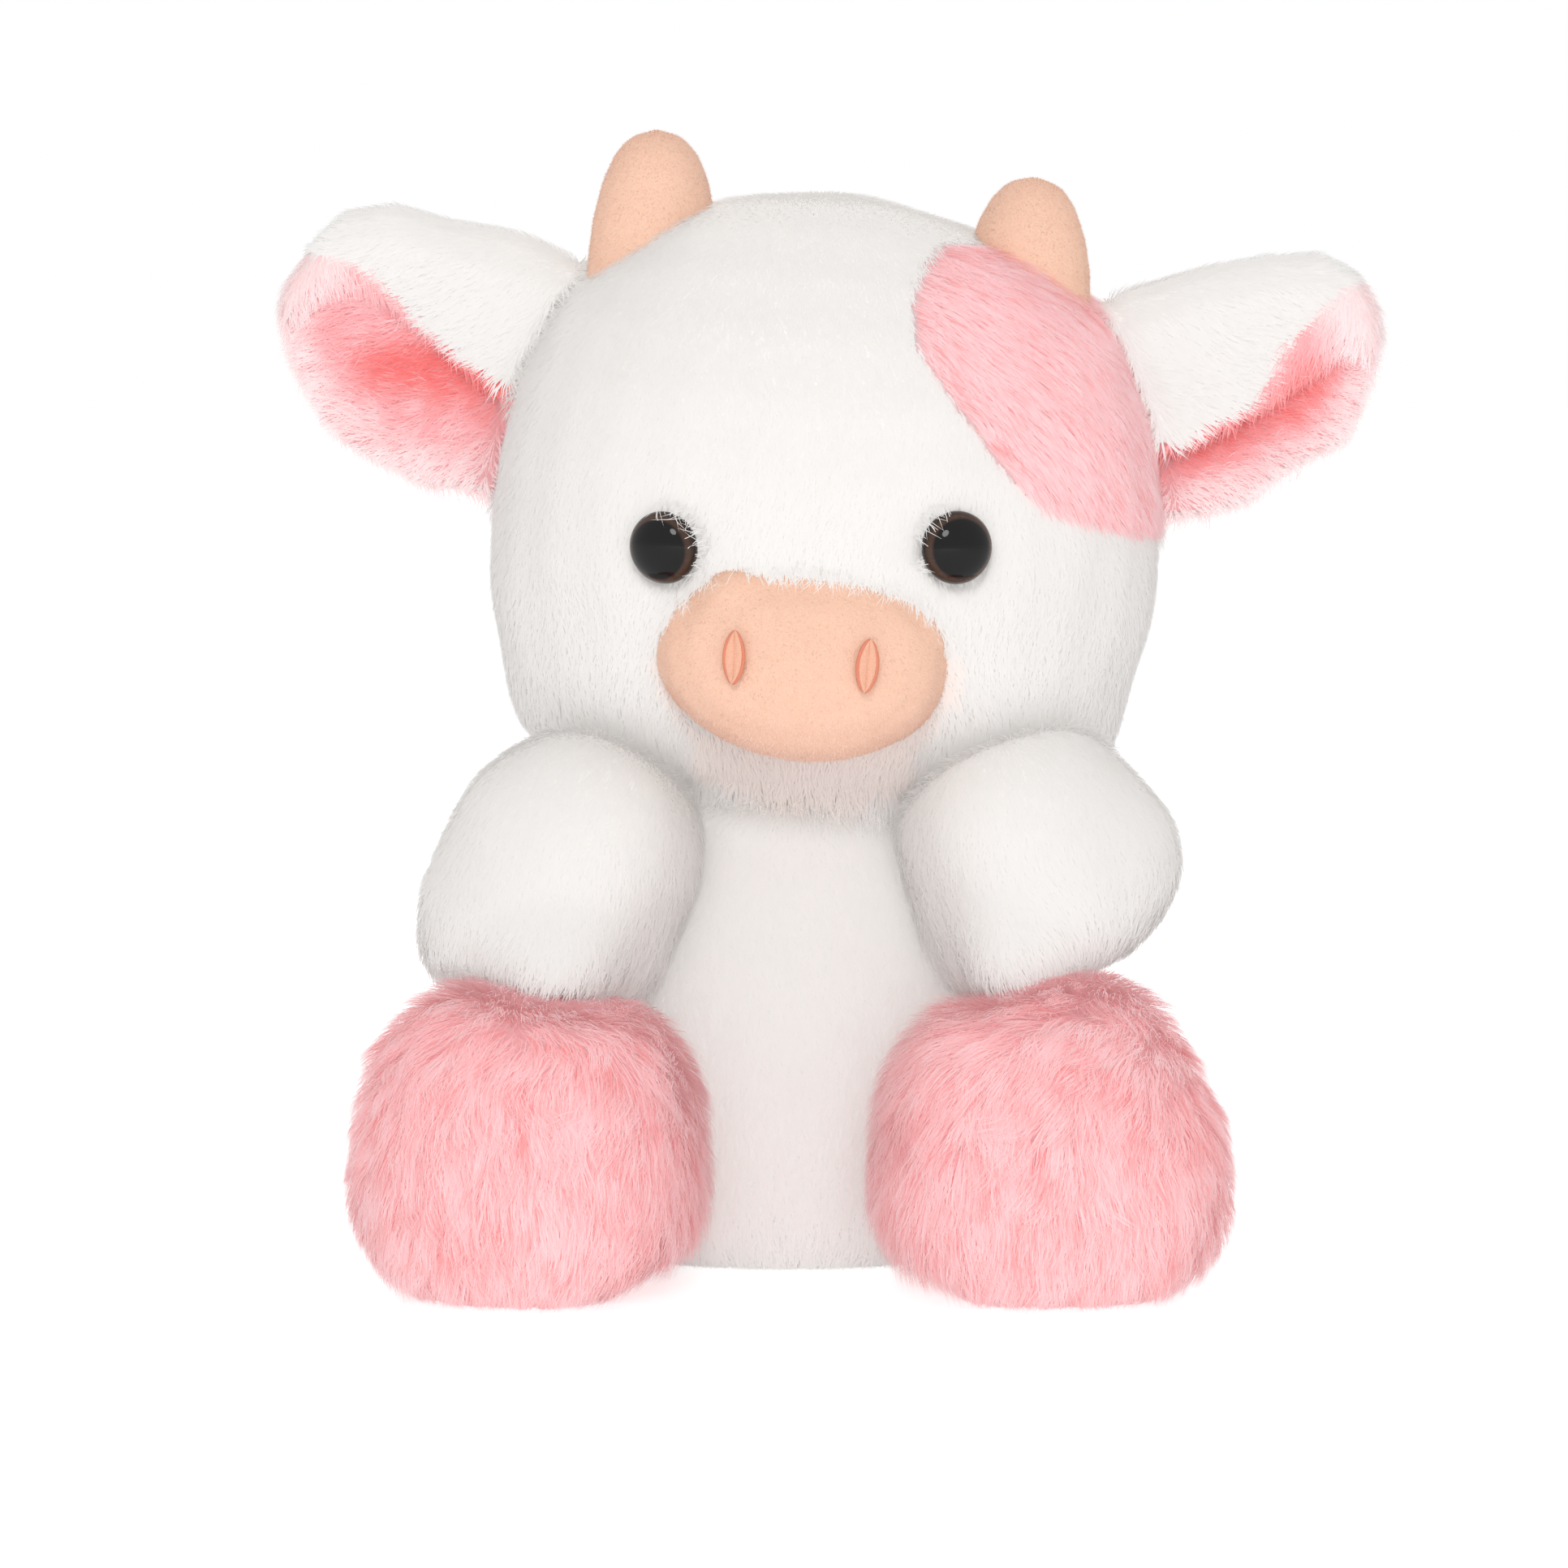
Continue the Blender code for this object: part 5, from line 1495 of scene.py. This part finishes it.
class PLUSHCOW_OT_tail(bpy.types.Operator):
    """Make the tail with its tuft"""

    bl_idname = "plush_cow.tail"
    bl_label = "Tail"

    def execute(self, context):
        form = sewn_form(["tail"], 0.8 * MM, 14, 1 * MM)
        skin_object("tail_skin", form, white_looks()[1], "tail", ["tail"])
        gap = away_from(form, "body_cover")
        white_pile("tail_pile", form, "tail", gap, tone=0.85, share=0.55, seed=91)
        tuft = sewn_form(["tail_tuft"], 1 * MM, 14, 1 * MM)
        skin_object("tuft_skin", tuft, pink_looks()[1], "tail", ["tail_tuft"])
        look = pile_settings()
        seeds = Seeds(tuft, look.pink_density * 1.4, 92)
        gap = away_from(tuft, "body_cover")
        seeds = seeds.keep(seeds.at(gap) > -0.3 * MM)
        pile_object("tuft_pile", seeds, seeds.at(downward(tuft, seed=93)), pink_looks()[0],
                    "tail", np.full(len(seeds.points), look.patch_length), look.pink_width,
                    np.full(len(seeds.points), 0.6), steps=3, lean=(30, 70), tuft=0.6,
                    tuft_share=0.06)
        return {"FINISHED"}


class PLUSHCOW_OT_stage(bpy.types.Operator):
    """Set the floor, the soft light and the camera"""

    bl_idname = "plush_cow.stage"
    bl_label = "Floor, light and camera"

    def execute(self, context):
        stage = context.scene.plush_stage
        self.floor(stage)
        self.sky(context, stage)
        self.lamps(stage)
        self.camera(context, stage)
        return {"FINISHED"}

    def floor(self, stage):
        mesh = bmesh.new()
        bmesh.ops.create_grid(mesh, x_segments=8, y_segments=8, size=30)
        data = bpy.data.meshes.new("floor")
        mesh.to_mesh(data)
        mesh.free()
        made = linked("floor", data)
        look, nodes, shader = shader_material("pale_floor", 0.9, {
            "Base Color": opaque(stage.floor), "Specular IOR Level": 0.1})
        glow, more = FLOOR_GLOW
        path = nodes.add("ShaderNodeLightPath").outputs
        seen = nodes.maths("MAXIMUM", path["Is Camera Ray"], path["Is Glossy Ray"])
        shader.inputs["Emission Color"].default_value = (1, 1, 1, 1)
        join(nodes, nodes.maths("MULTIPLY_ADD", seen, more, glow), shader, "Emission Strength")
        data.materials.append(look)

    def sky(self, context, stage):
        world = bpy.data.worlds.new("soft_light")
        context.scene.world = world
        world.use_nodes = True
        nodes = Nodes(world.node_tree)
        backdrop = world.node_tree.nodes["Background"]
        path = nodes.add("ShaderNodeLightPath").outputs
        seen = nodes.maths("MAXIMUM", path["Is Camera Ray"], path["Is Transmission Ray"])
        seen = nodes.maths("MAXIMUM", seen, path["Is Glossy Ray"])
        strength = nodes.add("ShaderNodeMix", {0: seen, 2: stage.sky, 3: 1.0}).outputs[0]
        backdrop.inputs["Color"].default_value = (1, 1, 1, 1)
        world.node_tree.links.new(strength, backdrop.inputs["Strength"])

    def lamps(self, stage):
        for name, place, size, share in LAMPS:
            data = bpy.data.lights.new(name + "_lamp", "AREA")
            data.size = size
            data.energy = stage.key * share
            data.shape = "DISK"
            made = linked(name + "_lamp", data)
            made.visible_glossy = name == "window"
            made.location = place
            aim = Vector(LAMP_AIM) - made.location
            made.rotation_euler = aim.to_track_quat("-Z", "Y").to_euler()

    def camera(self, context, stage):
        data = bpy.data.cameras.new("camera")
        data.lens = stage.lens
        data.sensor_width = 36
        data.sensor_fit = "HORIZONTAL"
        made = linked("camera", data)
        target = Vector(CAMERA_AIM) * MM
        away = Vector((0, -cos(stage.elevation), sin(stage.elevation)))
        made.location = target + away * stage.distance
        made.rotation_euler = (-away).to_track_quat("-Z", "Y").to_euler()
        context.scene.camera = made


class PLUSHCOW_PT_panel(bpy.types.Panel):
    """Lists the pieces of the plush cow and their settings"""

    bl_label = "Plush Cow"
    bl_space_type = "VIEW_3D"
    bl_region_type = "UI"
    bl_category = "Plush Cow"

    def draw(self, context):
        layout = self.layout
        for operator in OPERATORS:
            layout.operator(operator.bl_idname)
        for settings in (context.scene.plush_pile, context.scene.plush_eyes,
                         context.scene.plush_stage):
            column = layout.box().column()
            for key in settings.__annotations__:
                column.prop(settings, key)


SETTINGS = (PileSettings, EyeSettings, StageSettings)
OPERATORS = (
    PLUSHCOW_OT_stage, PLUSHCOW_OT_body, PLUSHCOW_OT_head, PLUSHCOW_OT_snout, PLUSHCOW_OT_eyes,
    PLUSHCOW_OT_horns, PLUSHCOW_OT_ears, PLUSHCOW_OT_arms, PLUSHCOW_OT_legs, PLUSHCOW_OT_tail)
CLASSES = (*SETTINGS, *OPERATORS, PLUSHCOW_PT_panel)


def register():
    for item in CLASSES:
        bpy.utils.register_class(item)
    bpy.types.Scene.plush_pile = PointerProperty(type=PileSettings)
    bpy.types.Scene.plush_eyes = PointerProperty(type=EyeSettings)
    bpy.types.Scene.plush_stage = PointerProperty(type=StageSettings)


def unregister():
    del bpy.types.Scene.plush_stage
    del bpy.types.Scene.plush_eyes
    del bpy.types.Scene.plush_pile
    for item in reversed(CLASSES):
        bpy.utils.unregister_class(item)


def main():
    register()
    view = bpy.context.scene.view_settings
    view.view_transform = "Standard"
    bpy.ops.plush_cow.stage()
    bpy.ops.plush_cow.body()
    bpy.ops.plush_cow.head()
    bpy.ops.plush_cow.snout()
    bpy.ops.plush_cow.eyes()
    bpy.ops.plush_cow.horns()
    bpy.ops.plush_cow.ears()
    bpy.ops.plush_cow.arms()
    bpy.ops.plush_cow.legs()
    bpy.ops.plush_cow.tail()


if __name__ == "__main__":
    main()
